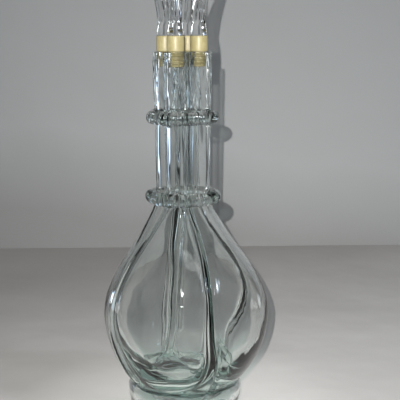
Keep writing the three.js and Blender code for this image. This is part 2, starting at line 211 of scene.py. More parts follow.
def smooth_through(positions, values, at):
    """A natural cubic spline through values at positions, read at other positions."""
    x, y = np.asarray(positions, float), np.asarray(values, float)
    h, slope = np.diff(x), np.diff(y) / np.diff(x)
    matrix, right = np.eye(len(x)), np.zeros(len(x))
    for i in range(1, len(x) - 1):
        matrix[i, i - 1 : i + 2] = h[i - 1], 2 * (h[i - 1] + h[i]), h[i]
        right[i] = 6 * (slope[i] - slope[i - 1])
    bend = np.linalg.solve(matrix, right)
    i = np.clip(np.searchsorted(x, at) - 1, 0, len(h) - 1)
    a, b = x[i + 1] - at, at - x[i]
    curve = (bend[i] * a**3 + bend[i + 1] * b**3) / (6 * h[i])
    return curve + (y[i] / h[i] - bend[i] * h[i] / 6) * a + (y[i + 1] / h[i] - bend[i + 1] * h[i] / 6) * b


outline_heights, outline_radii = np.array(OUTLINE, float).T
knots = np.concatenate([[0], np.cumsum(np.hypot(np.diff(outline_radii), np.diff(outline_heights)))])
walk = np.linspace(0, knots[-1], OUTLINE_SAMPLES)
outline = np.stack([smooth_through(knots, values, walk) for values in (outline_radii, outline_heights)], -1)
outline_slope = np.gradient(outline, axis=0)
outline_slope /= np.linalg.norm(outline_slope, axis=1)[:, None]
outline_inwards = np.stack([-outline_slope[:, 1], outline_slope[:, 0]], -1)


def outline_at(t, depth=0.0):
    """Radius and height at a share t of the outline's length, a depth in millimetres further in."""
    at = np.clip(t, 0, 1) * (OUTLINE_SAMPLES - 1)
    index = np.arange(OUTLINE_SAMPLES)
    point = [np.interp(at, index, outline[:, k]) for k in (0, 1)]
    inwards = [np.interp(at, index, outline_inwards[:, k]) for k in (0, 1)]
    return point[0] + depth * inwards[0], point[1] + depth * inwards[1]


print("outline length", round(knots[-1], 1), "mm, widest", round(outline[:, 0].max(), 2), "mm")

# %% [markdown]
# ## Sections of a chamber
# Cut level, a chamber is a wedge: two flat sides along the seams, a rim on the round belly, and
# rounded corners. Going up, the corners grow until the wedge has become a circle, which is how the
# blown bottles turn into straight necks. One function makes the outline of such a wedge with a
# fixed number of points, sharing them out so that no side is left with points on top of each other.
#
# The four bottles were pressed together by hand, so the seams don't stand square in the belly. They
# turn a little more towards the foot, and the front one sways on its way up. A seam is therefore an
# angle that depends on the height, and everything else asks the same function for it.

# %% Seams
BELLY_SEAMS = (-92, -6.5, 97, 172, 268)  # degrees, and the last is the first one turn on
NECK_SEAMS = (-90, 0, 90, 180, 270)
NECK_BLEND_START = 112.0
FOOT_TWISTS = (7, 7, 13, 7, 7)
TWIST_FOOT = 34
TWIST_TOPS = (82, 82, 94, 82, 82)
FRONT_SEAM = 1
FRONT_SEAM_SWAY = 3.8
SWAY_HEIGHTS = (88, 138, 168)
SEAM_RADIUS = 3.5


def smoothstep(x, low, high):
    """0 below low, 1 above high, and a smooth rise between."""
    u = np.clip((x - low) / (high - low), 0, 1)
    return u * u * (3 - 2 * u)


def lerp(a, b, share):
    """The value at a share of the way from a to b."""
    return a + (b - a) * share


def neckness(height):
    """0 down in the belly and 1 in the necks."""
    return smoothstep(height, NECK_BLEND_START, NECK_FOOT_HEIGHT)


def neck_radius(height):
    """The outer radius of a neck, which widens a little towards the lip."""
    return lerp(NECK_FOOT_RADIUS, NECK_LIP_RADIUS, smoothstep(height, NECK_FOOT_HEIGHT, LIP_HEIGHT))


def seam(k, height):
    """The angle of a seam at a height, in radians."""
    twist = FOOT_TWISTS[k] * (1 - smoothstep(height, TWIST_FOOT, TWIST_TOPS[k]))
    if k == FRONT_SEAM:
        low, middle, high = SWAY_HEIGHTS
        twist += FRONT_SEAM_SWAY * smoothstep(height, low, middle) * (1 - smoothstep(height, middle, high))
    return math.radians(lerp(BELLY_SEAMS[k], NECK_SEAMS[k], neckness(height)) + twist)


seams_now = [math.degrees(seam(k, BELLY_HEIGHT)) for k in range(5)]
print("chambers at the widest level, in degrees:", [round(b - a, 1) for a, b in zip(seams_now, seams_now[1:])])


# %% Wedges
def full_rounding(radius, offset, half):
    """The largest corner that a wedge can take, which makes it a circle."""
    return max(0.0, (radius * math.sin(half) - offset) / (1 + math.sin(half)))


def arc(centre, radius, start, end, count=40):
    """Points of an arc between two angles."""
    return centre + radius * direction(np.linspace(start, end, count))


def shared_out(strips, count, closed):
    """Joins strips of points and picks a number of points along them, more where a strip is short."""
    strips = [np.asarray(s) for s in strips]
    lengths = [np.linalg.norm(np.diff(s, axis=0), axis=1) for s in strips]
    weights = np.array([math.sqrt(l.sum()) for l in lengths])
    ends = np.concatenate([[0], np.cumsum(weights)]) / weights.sum()
    u = np.linspace(0, 1, count, endpoint=not closed)
    picked = np.zeros((count, 2))
    for k, (strip, length) in enumerate(zip(strips, lengths)):
        inside = (u >= ends[k]) & (u <= ends[k + 1])
        if length.sum() < 1e-9 or ends[k + 1] <= ends[k]:
            continue
        along = np.concatenate([[0], np.cumsum(length)]) / length.sum()
        share = (u[inside] - ends[k]) / (ends[k + 1] - ends[k])
        picked[inside] = np.stack([np.interp(share, along, strip[:, a]) for a in (0, 1)], -1)
    return picked


def wedge_strips(c, height, radius, offset, corner, apex):
    """The rim side and the axis side of a chamber's section, as strips of points."""
    start, end = seam(c, height), seam(c + 1, height)
    half = (end - start) / 2
    corner = min(corner, full_rounding(radius, offset, half))
    apex = min(apex, full_rounding(radius, offset, half))
    lean = math.asin(min(math.sin(half), (offset + corner) / max(radius - corner, 1e-9)))
    first = direction(start + lean) * (radius - corner)
    last = direction(end - lean) * (radius - corner)
    heart = direction(start + half) * (offset + apex) / math.sin(half)
    right = math.pi / 2
    rim = [
        arc(first, corner, start - right, start + lean),
        arc(np.zeros(2), radius, start + lean, end - lean),
        arc(last, corner, end - lean, end + right),
    ]
    inner = arc(heart, apex, end + right, start + 3 * right)
    sides = [np.linspace(rim[2][-1], inner[0], 10), np.linspace(inner[-1], rim[0][0], 10)]
    return rim, sides, inner


def level(points, height):
    """The same points in the plane of a height."""
    return np.column_stack([points, np.full(len(points), height)])


# %% [markdown]
# ## Ripples of blown glass
# Blown glass is never quite even: a wall swells and thins by a tenth of a millimetre, and that is
# what makes the light in it flow. A displacement texture would only reach the surface that it is on,
# so the points are pushed sideways by a sum of sine waves with fixed seeds. Long upright waves give
# the streaks of the drawn necks, and shorter ones the mottled tops. The hollows get waves of their
# own, so that the wall between them and the outside varies too. The same cell makes two larger
# faults of the hand-made piece: the belly leans to one side, and its bottom is pushed up.

# %% Ripples
BELLY_WAVES = (34, 46)  # wavelengths in mm, across and upright
NECK_WAVES = (4.2, 90)
TOP_WAVES = (3.0, 40)
LIP_WAVES = (3.2, 9)


def waves(points, seed, across, upright, count=14):
    """A sideways push of about 1 mm at each point, with wavelengths in mm across and upright."""
    rng = np.random.default_rng(seed)
    push = np.zeros((len(points), 2))
    for _ in range(count):
        turn = rng.uniform(0, 2 * math.pi)
        level_wave = 2 * math.pi / (across * rng.uniform(0.7, 1.5))
        upright_wave = 2 * math.pi / (upright * rng.uniform(0.7, 1.6)) * rng.choice([-1, 1])
        phase = points[:, 0] * math.cos(turn) + points[:, 1] * math.sin(turn)
        phase = phase * level_wave + points[:, 2] * upright_wave + rng.uniform(0, 2 * math.pi)
        heading = rng.uniform(0, 2 * math.pi)
        push += np.sin(phase)[:, None] * np.array([math.cos(heading), math.sin(heading)])
    return push / math.sqrt(count)


LEAN = 1.7
LEAN_TOWARDS = direction(math.radians(CAMERA_AZIMUTH + 90))
LEAN_SETS_IN = (16, 62)  # heights in mm, as in the next ones
LEAN_FADES = (100, 166)
NECK_RIPPLES = (150, 185)
TOP_RIPPLES = (228, 240)
LIP_RIPPLES = (246, 264)
LIP_CALMS = (268, 275)
RIPPLES_SET_IN = (14, 40)


def leaned(points):
    """The belly sags sideways a little between the foot and the necks."""
    moved = np.array(points, float)
    z = moved[:, 2]
    lean = smoothstep(z, *LEAN_SETS_IN) * (1 - smoothstep(z, *LEAN_FADES)) * LEAN
    moved[:, :2] += lean[:, None] * LEAN_TOWARDS
    return moved


def kicked_up(points, rise, reach, fade):
    """Lifts a bottom round the axis: by rise at the axis, dying out with the radius and the height."""
    moved = np.array(points, float)
    z = moved[:, 2]
    radius = np.hypot(moved[:, 0], moved[:, 1])
    moved[:, 2] += rise * np.exp(-((radius / reach) ** 2)) * (1 - smoothstep(z, BASE_HEIGHT, fade))
    return moved


def rippled(points, seed, belly=0.10, neck=0.075, top=0.20):
    """Points pushed by the ripples that suit their height."""
    points = leaned(points)
    z = points[:, 2]
    necks = smoothstep(z, *NECK_RIPPLES)
    tops = smoothstep(z, *TOP_RIPPLES) * (1 - 0.4 * smoothstep(z, *LIP_CALMS))
    lips = smoothstep(z, *LIP_RIPPLES)
    push = waves(points, seed, *BELLY_WAVES) * (belly * (1 - necks))[:, None]
    push += waves(points, seed + 1, *NECK_WAVES) * (neck * necks)[:, None]
    push += waves(points, seed + 2, *TOP_WAVES) * (top * tops)[:, None]
    push += waves(points, seed + 3, *LIP_WAVES) * (0.7 * top * tops * lips)[:, None]
    moved = points.copy()
    moved[:, :2] += push * smoothstep(z, *RIPPLES_SET_IN)[:, None]
    return moved


ladder = np.column_stack([np.full((120, 2), 12.0), np.linspace(BASE_HEIGHT, LIP_HEIGHT, 120)])
pushes = np.linalg.norm(rippled(ladder, 1)[:, :2] - leaned(ladder)[:, :2], axis=1)
print("the ripples push by up to", round(pushes.max(), 2), "mm")

# %% [markdown]
# ## The fused outside
# On the real decanter the four hot bottles were pressed together, so outside there is one skin with
# a rounded groove along each seam, and up between the necks an open channel in the middle. Four
# solids joined by a Boolean would leave ragged creases there. So each chamber gives only its own
# part of the fused skin, up to points that it shares with its neighbours, and the groove is rounded
# by a small formula: a point at a distance x from the seam plane is moved to the root of x² - k².

# %% Grooves
OUTSIDE_COLUMNS = 76
CHANNEL_COLUMNS = 18
WEB_COLUMNS = 5
BELLY_LEVELS = 80
NECK_LEVELS = 56
LIP_LEVELS = 6
LIP_ROUNDING = 1.3
BELLY_GROOVE = 0.5
NECK_GROOVE = 0.32
GROOVE_SHARE = 0.25  # of a corner, at most
FIRST_LEVEL = 0.012  # as a share of the outline, close to the axis
SMALLEST_HALF = math.radians(40)  # half of a narrow chamber: its corners stay a little under the full rounding
ROUNDING_SHARE = 0.92
ROUNDING_TOP = 100
BUNDLE = 1 + math.sqrt(2)  # the radius round four necks that touch, as a multiple of one neck's
CHANNEL_FOOT_HEIGHT = 146.0
CHANNEL_OPEN_HEIGHT = 172
CHANNEL_LEVELS = (16, 40)
SMALLEST_CHANNEL = 0.4
RIM_HEIGHT = LIP_HEIGHT - LIP_ROUNDING
PUNT_OUTSIDE = 12.0
PUNT_REACH = 17.0
PUNT_OUTSIDE_FADE = 40
OUTSIDE_SEED = 11


def from_seam(points, angle):
    """Signed distances of points from a seam plane, and that plane's normal."""
    normal = direction(np.array(angle + math.pi / 2))
    return points @ normal, normal


def rounded_groove(points, c, height, k):
    """Moves points towards the nearer seam plane, so that the two sides of its groove meet smoothly."""
    out = points.copy()
    d0, n0 = from_seam(points, seam(c, height))
    d1, n1 = from_seam(points, seam(c + 1, height))
    d1 = -d1
    near = d0 <= d1
    x = np.where(near, d0, d1)
    shift = x - np.sqrt(np.maximum(x * x - k * k, 0))
    out[near] -= shift[near, None] * n0
    out[~near] += shift[~near, None] * n1
    return out


def kept_strip(strip, c, height, k):
    """The part of a strip that is further than k from both seam planes, with its ends exactly at k."""
    d0, _ = from_seam(strip, seam(c, height))
    d1, _ = from_seam(strip, seam(c + 1, height))
    x = np.minimum(d0, -d1)
    inside = np.flatnonzero(x > k)
    pieces = [strip[inside]]
    for a, b, front in ((inside[0] - 1, inside[0], True), (inside[-1] + 1, inside[-1], False)):
        if 0 <= a < len(strip):
            share = (k - x[a]) / (x[b] - x[a])
            cut = strip[a] + (strip[b] - strip[a]) * share
            pieces.insert(0 if front else len(pieces), cut[None])
    return np.concatenate(pieces)


def refined(strip, count=160):
    """The same strip with more points, for exact cuts."""
    s = np.linspace(0, 1, len(strip))
    u = np.linspace(0, 1, count)
    return np.stack([np.interp(u, s, strip[:, a]) for a in (0, 1)], -1)


# %% Levels of the outer skin
def outside_section(c, radius, height, corner, k):
    """One chamber's part of the fused skin at a level, from its first seam to its last."""
    rim, _, _ = wedge_strips(c, height, radius, 0.0, corner, corner)
    fine = [refined(s) for s in rim]
    first, last = kept_strip(fine[0], c, height, k), kept_strip(fine[2], c, height, k)
    points = shared_out([first, fine[1], last], OUTSIDE_COLUMNS, closed=False)
    points[0], points[-1] = first[0], last[-1]
    return rounded_groove(points, c, height, k)


def groove(height):
    """How wide the rounding of the seams' groove is at a height."""
    return lerp(BELLY_GROOVE, NECK_GROOVE, neckness(height))


def belly_levels():
    """Radius, height, corner and groove of the levels from the base to the necks' foot."""
    for t in np.linspace(FIRST_LEVEL, 1, BELLY_LEVELS):
        radius, height = outline_at(t)
        corner = lerp(SEAM_RADIUS, neck_radius(height), neckness(height))
        if height < ROUNDING_TOP:
            corner = min(corner, ROUNDING_SHARE * full_rounding(radius, 0, SMALLEST_HALF))
        k = min(groove(height), GROOVE_SHARE * corner)
        yield float(radius), float(height), float(corner), float(k)


def neck_levels():
    """The same for the levels of the necks, up to where the lip starts to round off."""
    for height in np.linspace(NECK_FOOT_HEIGHT, RIM_HEIGHT, NECK_LEVELS + 1)[1:]:
        radius = float(neck_radius(height))
        yield radius * BUNDLE, float(height), radius, NECK_GROOVE


def channel_section(c, height):
    """One chamber's part of the open channel between the necks at a level."""
    grown = smoothstep(height, CHANNEL_FOOT_HEIGHT, CHANNEL_OPEN_HEIGHT)
    apex = max(SMALLEST_CHANNEL, float(neck_radius(height)) * grown)
    k = NECK_GROOVE * min(1.0, apex / NECK_FOOT_RADIUS)
    radius = max(float(neck_radius(height)) * BUNDLE, apex * 2.5)
    _, _, inner = wedge_strips(c, LIP_HEIGHT, radius, 0.0, apex, apex)
    strip = kept_strip(refined(inner, 200), c, LIP_HEIGHT, k)
    points = shared_out([strip], CHANNEL_COLUMNS, closed=False)
    points[0], points[-1] = strip[0], strip[-1]
    return rounded_groove(points, c, LIP_HEIGHT, k)


def neck_centre(c, height):
    """The middle of a neck: the necks touch both seams beside them."""
    middle = (seam(c, height) + seam(c + 1, height)) / 2
    return direction(np.array(middle)) * float(neck_radius(height)) * math.sqrt(2)


# %% Outer skin
def outer_skin():
    """The four parts side by side, and the lips that join each neck's outside to the channel."""
    skin = Skin()
    for c in range(4):
        rows = [level(outside_section(c, r, h, corner, k), h) for r, h, corner, k in belly_levels()]
        rows += [level(outside_section(c, r, h, corner, k), h) for r, h, corner, k in neck_levels()]
        skin.patch(rows, closed=False, first=(0, 0, BASE_HEIGHT))
        low = np.linspace(CHANNEL_FOOT_HEIGHT, CHANNEL_OPEN_HEIGHT, CHANNEL_LEVELS[0])
        high = np.linspace(CHANNEL_OPEN_HEIGHT, RIM_HEIGHT, CHANNEL_LEVELS[1])[1:]
        channel = [level(channel_section(c, h), h) for h in (*low, *high)]
        skin.patch(channel, closed=False, first=(0, 0, CHANNEL_FOOT_HEIGHT - 0.6))
        centre = neck_centre(c, RIM_HEIGHT)
        outer, inner = rows[-1][:, :2], channel[-1][:, :2]
        webs = [np.linspace(a, b, WEB_COLUMNS)[1:-1] for a, b in ((outer[-1], inner[0]), (inner[-1], outer[0]))]
        loop = np.concatenate([outer, webs[0], inner, webs[1]])
        lips = []
        for turn in np.linspace(0, math.pi / 2, LIP_LEVELS):
            away = loop - centre
            length = np.linalg.norm(away, axis=1)[:, None]
            inset = LIP_ROUNDING * (1 - math.cos(turn))
            lips.append(level(centre + away * (1 - inset / length), RIM_HEIGHT + LIP_ROUNDING * math.sin(turn)))
        skin.patch(lips, last=(*centre, LIP_HEIGHT))
    pushed_up = [kicked_up(p, PUNT_OUTSIDE, PUNT_REACH, PUNT_OUTSIDE_FADE) for p in skin.points]
    skin.points = [rippled(p, OUTSIDE_SEED) for p in pushed_up]
    return skin.mesh("outer_skin")


outer_mesh = outer_skin()
print("outer skin:", len(outer_mesh.polygons), "faces, open edges", open_edges(outer_mesh))

# %% [markdown]
# ## The four hollows
# Each hollow follows the outline one wall further in, with a rounded floor and wider corners than
# the outside, so the glass is thick along the seams and at the bottom. Above the necks' foot it is
# a plain bore, which runs on past the lip so that it cuts the lip open. The wall's thickness isn't
# the same everywhere: blown glass is thinnest where the belly is widest. The line where the four
# hollows meet stands to one side of the axis, which shows in the picture where the back seams come
# down behind the front ones.

# %% Sizes of a hollow
HOLLOW_COLUMNS = 72
HOLLOW_LEVELS = 80
BORE_LEVELS = 46
WALL_HEIGHTS = [13, 24, 38, 50, 62, 90, 135, 160]
WALL_THICKNESSES = [11, 9.8, 7.4, 5.5, 4.3, 3.4, 3.0, 3.0]
SIDE_WALL = 1.35
CORNER_HEIGHTS = [24, 50, 75, 100, 130]
CORNER_RADII = [11, 9.5, 7, 5, 4.5]
CAVITY_APEX = 7.0
FLOOR_HEIGHT = 22.5
FLOOR_ROUNDING = 8.0
LIP_FLARE = 0.65
CUT_PAST_LIP = 3.0
HOLLOW_SEED = 40
HOLLOW_SEED_STEP = 7
PUNT_INSIDE = 22.0
PUNT_INSIDE_FADE = 95.0
HEART_HEIGHTS = [40, 48, 66, 90, 132, 150, 166]
HEART_SHIFTS = [12.5, 12.0, 9.5, 8.0, 6.0, 3.0, 0.0]
HEART_REACH = 0.92  # as a share of the outline's radius: nothing moves beyond it
NARROWEST_RIM = 20
FLOOR_CROWDING = 1.6  # sets more levels near the floor
FIRST_SHARE = 0.03
FLARE_TURN = 1.2
FLARE_GAIN = 1.6


def hollow_size(t):
    """Radius, height, offset from the seams, corner and apex of the hollow at a share of the outline."""
    _, outer_height = outline_at(t)
    wall = np.interp(outer_height, WALL_HEIGHTS, WALL_THICKNESSES)
    radius, height = outline_at(t, wall)
    above = 1 - np.clip((height - FLOOR_HEIGHT) / FLOOR_ROUNDING, 0, 1)
    setback = FLOOR_ROUNDING * (1 - math.sqrt(max(0.0, 1 - above**2)))
    bore_wall = NECK_FOOT_RADIUS - BORE_RADIUS
    offset = lerp(SIDE_WALL, bore_wall, neckness(height)) + setback
    corner = lerp(np.interp(height, CORNER_HEIGHTS, CORNER_RADII), BORE_RADIUS, neckness(height))
    apex = lerp(CAVITY_APEX, BORE_RADIUS, neckness(height))
    return float(radius), float(height), float(offset), float(corner), float(apex)


def hollow_start(c):
    """Where the hollow's wedge has shrunk to nothing, as a share of the outline."""
    low, high = 0.0, 0.5
    for _ in range(40):
        middle = (low + high) / 2
        radius, height, offset, _, _ = hollow_size(middle)
        half = (seam(c + 1, height) - seam(c, height)) / 2
        grown = height > FLOOR_HEIGHT and radius * math.sin(half) > offset
        low, high = (low, middle) if grown else (middle, high)
    return high


# %% Hollows
def loop_at(c, radius, height, offset, corner, apex):
    """The closed outline of a hollow at a level."""
    rim, sides, inner = wedge_strips(c, height, radius, offset, corner, apex)
    return level(shared_out([*rim, sides[0], inner, sides[1]], HOLLOW_COLUMNS, closed=True), height)


def bore_loop(c, height, radius):
    """A round loop in a neck, with its points in the places of the wedge's."""
    middle = float(neck_radius(min(height, LIP_HEIGHT)))
    return loop_at(c, middle * math.sqrt(2) + radius, height, middle - radius, radius, radius)


def off_centre(points):
    """Moves the line where the four hollows meet to one side, and leaves their rims where they are."""
    moved = np.array(points, float)
    z = moved[:, 2]
    rim = np.maximum(np.interp(z, outline[:, 1], outline[:, 0]), NARROWEST_RIM)
    share = 1 - smoothstep(np.hypot(moved[:, 0], moved[:, 1]) / rim, 0, HEART_REACH)
    shift = np.interp(z, HEART_HEIGHTS, HEART_SHIFTS) * share
    moved[:, :2] -= shift[:, None] * LEAN_TOWARDS
    return moved


def hollow_skin(c):
    """One hollow from its floor, up the belly and the bore, to a little past the lip."""
    start = hollow_start(c)
    shares = np.linspace(FIRST_SHARE, 1, HOLLOW_LEVELS)
    rows = [loop_at(c, *hollow_size(lerp(start, 1, s**FLOOR_CROWDING))) for s in shares]
    for height in np.linspace(rows[-1][0, 2], RIM_HEIGHT, BORE_LEVELS)[1:]:
        rows.append(bore_loop(c, height, BORE_RADIUS))
    for turn in np.linspace(0, FLARE_TURN, 5)[1:]:
        flare = LIP_FLARE * (1 - math.cos(turn)) * FLARE_GAIN
        rows.append(bore_loop(c, RIM_HEIGHT + LIP_ROUNDING * math.sin(turn), BORE_RADIUS + flare))
    rows.append(bore_loop(c, LIP_HEIGHT + CUT_PAST_LIP, BORE_RADIUS + 2 * LIP_FLARE))
    skin = Skin()
    skin.patch(rows, first=rows[0].mean(0), last=rows[-1].mean(0))
    lifted = [off_centre(kicked_up(p, PUNT_INSIDE, PUNT_REACH, PUNT_INSIDE_FADE)) for p in skin.points]
    seed = HOLLOW_SEED + HOLLOW_SEED_STEP * c
    skin.points = [rippled(p, seed, belly=0.16, neck=0.11, top=0.26) for p in lifted]
    return skin


hollows = [hollow_skin(c).mesh(f"hollow_{c + 1}") for c in range(4)]
for mesh in hollows:
    heights = [v.co.z / MM for v in mesh.vertices]
    print(mesh.name, "from", round(min(heights), 1), "mm, open edges", open_edges(mesh))

# %% [markdown]
# ## Turned shapes and Geometry Nodes helpers
# The foot and the sleeves are turned shapes: a profile spun round the axis. What follows a path or
# repeats, such as the neck trails, the ribs on the plugs and the finials, is made by Geometry Nodes.
# A few helpers build the trees: they add a node and feed its sockets, keep values on the points, and
# sweep a profile along a path. The last one runs a finished tree and gives back a plain mesh.


# %% Turned profiles
def turned(profile, steps, ring=False):
    """A profile of (radius, height) points spun round an upright axis. A ring's profile is closed."""
    around = direction(np.linspace(0, 2 * math.pi, steps, endpoint=False))
    rows = [level(around * radius, height) for radius, height in profile]
    skin = Skin()
    skin.patch([*rows, rows[0]] if ring else rows)
    return skin


def rounded_profile(corners, step=0.7):
    """A closed profile with its corners rounded: corners are (radius, height, rounding)."""
    points = []
    n = len(corners)
    for i, (x, y, r) in enumerate(corners):
        p = np.array([x, y], float)
        a = np.array(corners[i - 1][:2], float) - p
        b = np.array(corners[(i + 1) % n][:2], float) - p
        la, lb = np.linalg.norm(a), np.linalg.norm(b)
        reach = min(r, 0.49 * la, 0.49 * lb)
        if reach < 1e-6:
            points.append(p)
            continue
        start, end = p + a / la * reach, p + b / lb * reach
        for u in np.linspace(0, 1, max(3, int(reach / step) + 3)):
            points.append(start * (1 - u) ** 2 + 2 * p * u * (1 - u) + end * u * u)
    return np.array(points)


# %% Node helpers
def emptied(owner):
    """The node tree of a new material or world, without the nodes that it comes with."""
    owner.use_nodes = True
    owner.node_tree.nodes.clear()
    return owner.node_tree


def add(tree, kind, inputs=None, **settings):
    """Adds a node, sets its settings, and fills or links its inputs by name or number."""
    node = tree.nodes.new(kind)
    for key, value in settings.items():
        setattr(node, key, value)
    for key, value in (inputs or {}).items():
        if isinstance(value, bpy.types.NodeSocket):
            tree.links.new(value, node.inputs[key])
        else:
            node.inputs[key].default_value = value
    return node


def maths(tree, operation, a, b=0.0, c=0.0):
    """The result of a sum on up to three values."""
    return add(tree, "ShaderNodeMath", {0: a, 1: b, 2: c}, operation=operation).outputs[0]


def usable(sockets, name):
    """The socket of a name that is in use now: some nodes have one for each kind of value."""
    return next(s for s in sockets if s.name == name and s.enabled)


SOCKETS = {float: "NodeSocketFloat", int: "NodeSocketInt", str: "NodeSocketMaterial"}


def new_tree(name, inputs):
    """A Geometry Nodes tree with named inputs. An input whose value is text is a material."""
    tree = bpy.data.node_groups.new(name, "GeometryNodeTree")
    tree.interface.new_socket("Geometry", in_out="INPUT", socket_type="NodeSocketGeometry")
    tree.interface.new_socket("Geometry", in_out="OUTPUT", socket_type="NodeSocketGeometry")
    for label, value in inputs.items():
        socket = tree.interface.new_socket(label, in_out="INPUT", socket_type=SOCKETS[type(value)])
        if not isinstance(value, str):
            socket.default_value = value
    return tree, tree.nodes.new("NodeGroupInput").outputs


def stored(tree, geometry, name, kind, value):
    """Keeps a value on the points under a name, so that it can be read again after a sweep."""
    node = add(tree, "GeometryNodeStoreNamedAttribute", {"Geometry": geometry, "Name": name}, data_type=kind)
    tree.links.new(value, usable(node.inputs, "Value"))
    return node.outputs[0]


def recalled(tree, name, kind):
    """The value that was kept under a name."""
    node = add(tree, "GeometryNodeInputNamedAttribute", {"Name": name}, data_type=kind)
    return usable(node.outputs, "Attribute")


def swept(tree, path, profile):
    """A profile swept along a path, as thick as the path's own radius says."""
    node = add(tree, "GeometryNodeCurveToMesh", {"Curve": path, "Profile Curve": profile})
    if "Scale" in node.inputs:  # newer versions ask for the radius here, older ones take it themselves
        tree.links.new(add(tree, "GeometryNodeInputRadius").outputs[0], node.inputs["Scale"])
    return node


def end_tree(tree, geometry, material):
    """Every tree ends with real geometry and its material."""
    real = add(tree, "GeometryNodeRealizeInstances", {0: geometry})
    painted = add(tree, "GeometryNodeSetMaterial", {"Geometry": real.outputs[0], "Material": material})
    out = tree.nodes.new("NodeGroupOutput")
    tree.links.new(painted.outputs[0], out.inputs[0])


def baked(obj):
    """What an object's modifiers make of it, as a mesh of its own."""
    bpy.context.view_layer.update()
    evaluated = obj.evaluated_get(bpy.context.evaluated_depsgraph_get())
    return bpy.data.meshes.new_from_object(evaluated)


def run_tree(name, source, tree, values):
    """Runs a tree on a mesh or curve with the given values and returns the result as a plain mesh."""
    obj = place(bpy.data.objects.new(name, source))
    modifier = obj.modifiers.new("made by nodes", "NODES")
    modifier.node_group = tree
    for item in tree.interface.items_tree:
        if item.in_out == "INPUT" and item.name in values:
            modifier[item.identifier] = values[item.name]
    mesh = baked(obj)
    bpy.data.objects.remove(obj)
    mesh.name = name
    return mesh


# %% [markdown]
# ## Materials
# The glass is a clear shader that bends light by 1.5, with a faint grey-green absorption that only
# shows where the glass is thick, as in ordinary soda glass. A lamp's rays would be stopped by such
# a shader, so for those rays alone the glass turns into a thin grey film that darkens towards the
# rims. Real glass also gathers light behind its foot and its thin shoulder, which a film can't do,
# so the film is clearer at those heights. The sleeves are a milky yellow plastic with a soft gloss.

# %% Glass
GLASS_IOR = 1.5
CLEAR_FILM = 0.97
DARK_RIM = 0.12
RAMP_HEIGHT = 350  # mm, where a ramp over the height ends
UPRIGHT_STRETCH = 0.35  # makes the surface's ripples longer upright than across


def grey_ramp(tree, height, stops):
    """A grey that follows the height: stops are (height in mm, value)."""
    node = add(tree, "ShaderNodeValToRGB", {0: height})
    elements = node.color_ramp.elements
    for i, (z, value) in enumerate(stops):
        stop = elements[i] if i < 2 else elements.new(1.0)
        stop.position = z / RAMP_HEIGHT
        stop.color = (value, value, value, 1)
    return node.outputs[0]


def glass(name, tint, density, faced, ripple_size, ripple_depth):
    """Clear glass with an absorbing body, a faintly uneven surface and a see-through shadow.

    The film for lamps lets through the share that is called faced where the glass faces the lamp."""
    material = bpy.data.materials.new(name)
    tree = emptied(material)
    place_in = add(tree, "ShaderNodeTexCoord").outputs["Object"]
    stretched = add(tree, "ShaderNodeMapping", {"Vector": place_in, "Scale": (1, 1, UPRIGHT_STRETCH)})
    noise = add(tree, "ShaderNodeTexNoise", {"Vector": stretched.outputs[0], "Scale": ripple_size, "Detail": 1.5})
    bump = add(tree, "ShaderNodeBump", {"Height": noise.outputs[0], "Strength": 0.35, "Distance": ripple_depth})
    clear = add(
        tree,
        "ShaderNodeBsdfPrincipled",
        {
            "Base Color": (1, 1, 1, 1),
            "Roughness": 0.0,
            "IOR": GLASS_IOR,
            "Transmission Weight": 1.0,
            "Normal": bump.outputs[0],
        },
    )
    facing = add(tree, "ShaderNodeLayerWeight", {"Blend": 0.35}).outputs["Facing"]
    upright = add(tree, "ShaderNodeSeparateXYZ", {0: place_in}).outputs[2]
    height = maths(tree, "DIVIDE", upright, RAMP_HEIGHT * MM)
    foot, shoulder = [(46, CLEAR_FILM), (70, faced)], [(126, faced), (140, 0.95), (162, 0.95), (169, faced)]
    pale = grey_ramp(tree, height, foot + shoulder)
    dark = grey_ramp(tree, height, [(46, CLEAR_FILM), (70, DARK_RIM)])
    film = add(tree, "ShaderNodeMix", {0: facing, 6: pale, 7: dark}, data_type="RGBA")
    see_through = add(tree, "ShaderNodeBsdfTransparent", {"Color": film.outputs[2]})
    from_lamp = add(tree, "ShaderNodeLightPath").outputs["Is Shadow Ray"]
    surface = add(tree, "ShaderNodeMixShader", {0: from_lamp, 1: clear.outputs[0], 2: see_through.outputs[0]})
    body = add(tree, "ShaderNodeVolumeAbsorption", {"Color": (*tint, 1), "Density": density})
    out = add(tree, "ShaderNodeOutputMaterial", {"Surface": surface.outputs[0], "Volume": body.outputs[0]})
    out.is_active_output = True
    return material


BODY_GLASS = glass(
    "blown glass", tint=(0.50, 0.72, 0.66), density=19.0, faced=0.78, ripple_size=90, ripple_depth=0.0004
)
FINIAL_GLASS = glass(
    "pulled glass", tint=(0.72, 0.82, 0.80), density=8.0, faced=0.5, ripple_size=160, ripple_depth=0.0003
)
print("glasses:", BODY_GLASS.name, "and", FINIAL_GLASS.name)


# %% Plastic
CREAMS = ((0.3, (0.30, 0.26, 0.125, 1)), (0.75, (0.375, 0.335, 0.18, 1)))  # share of the noise, tone


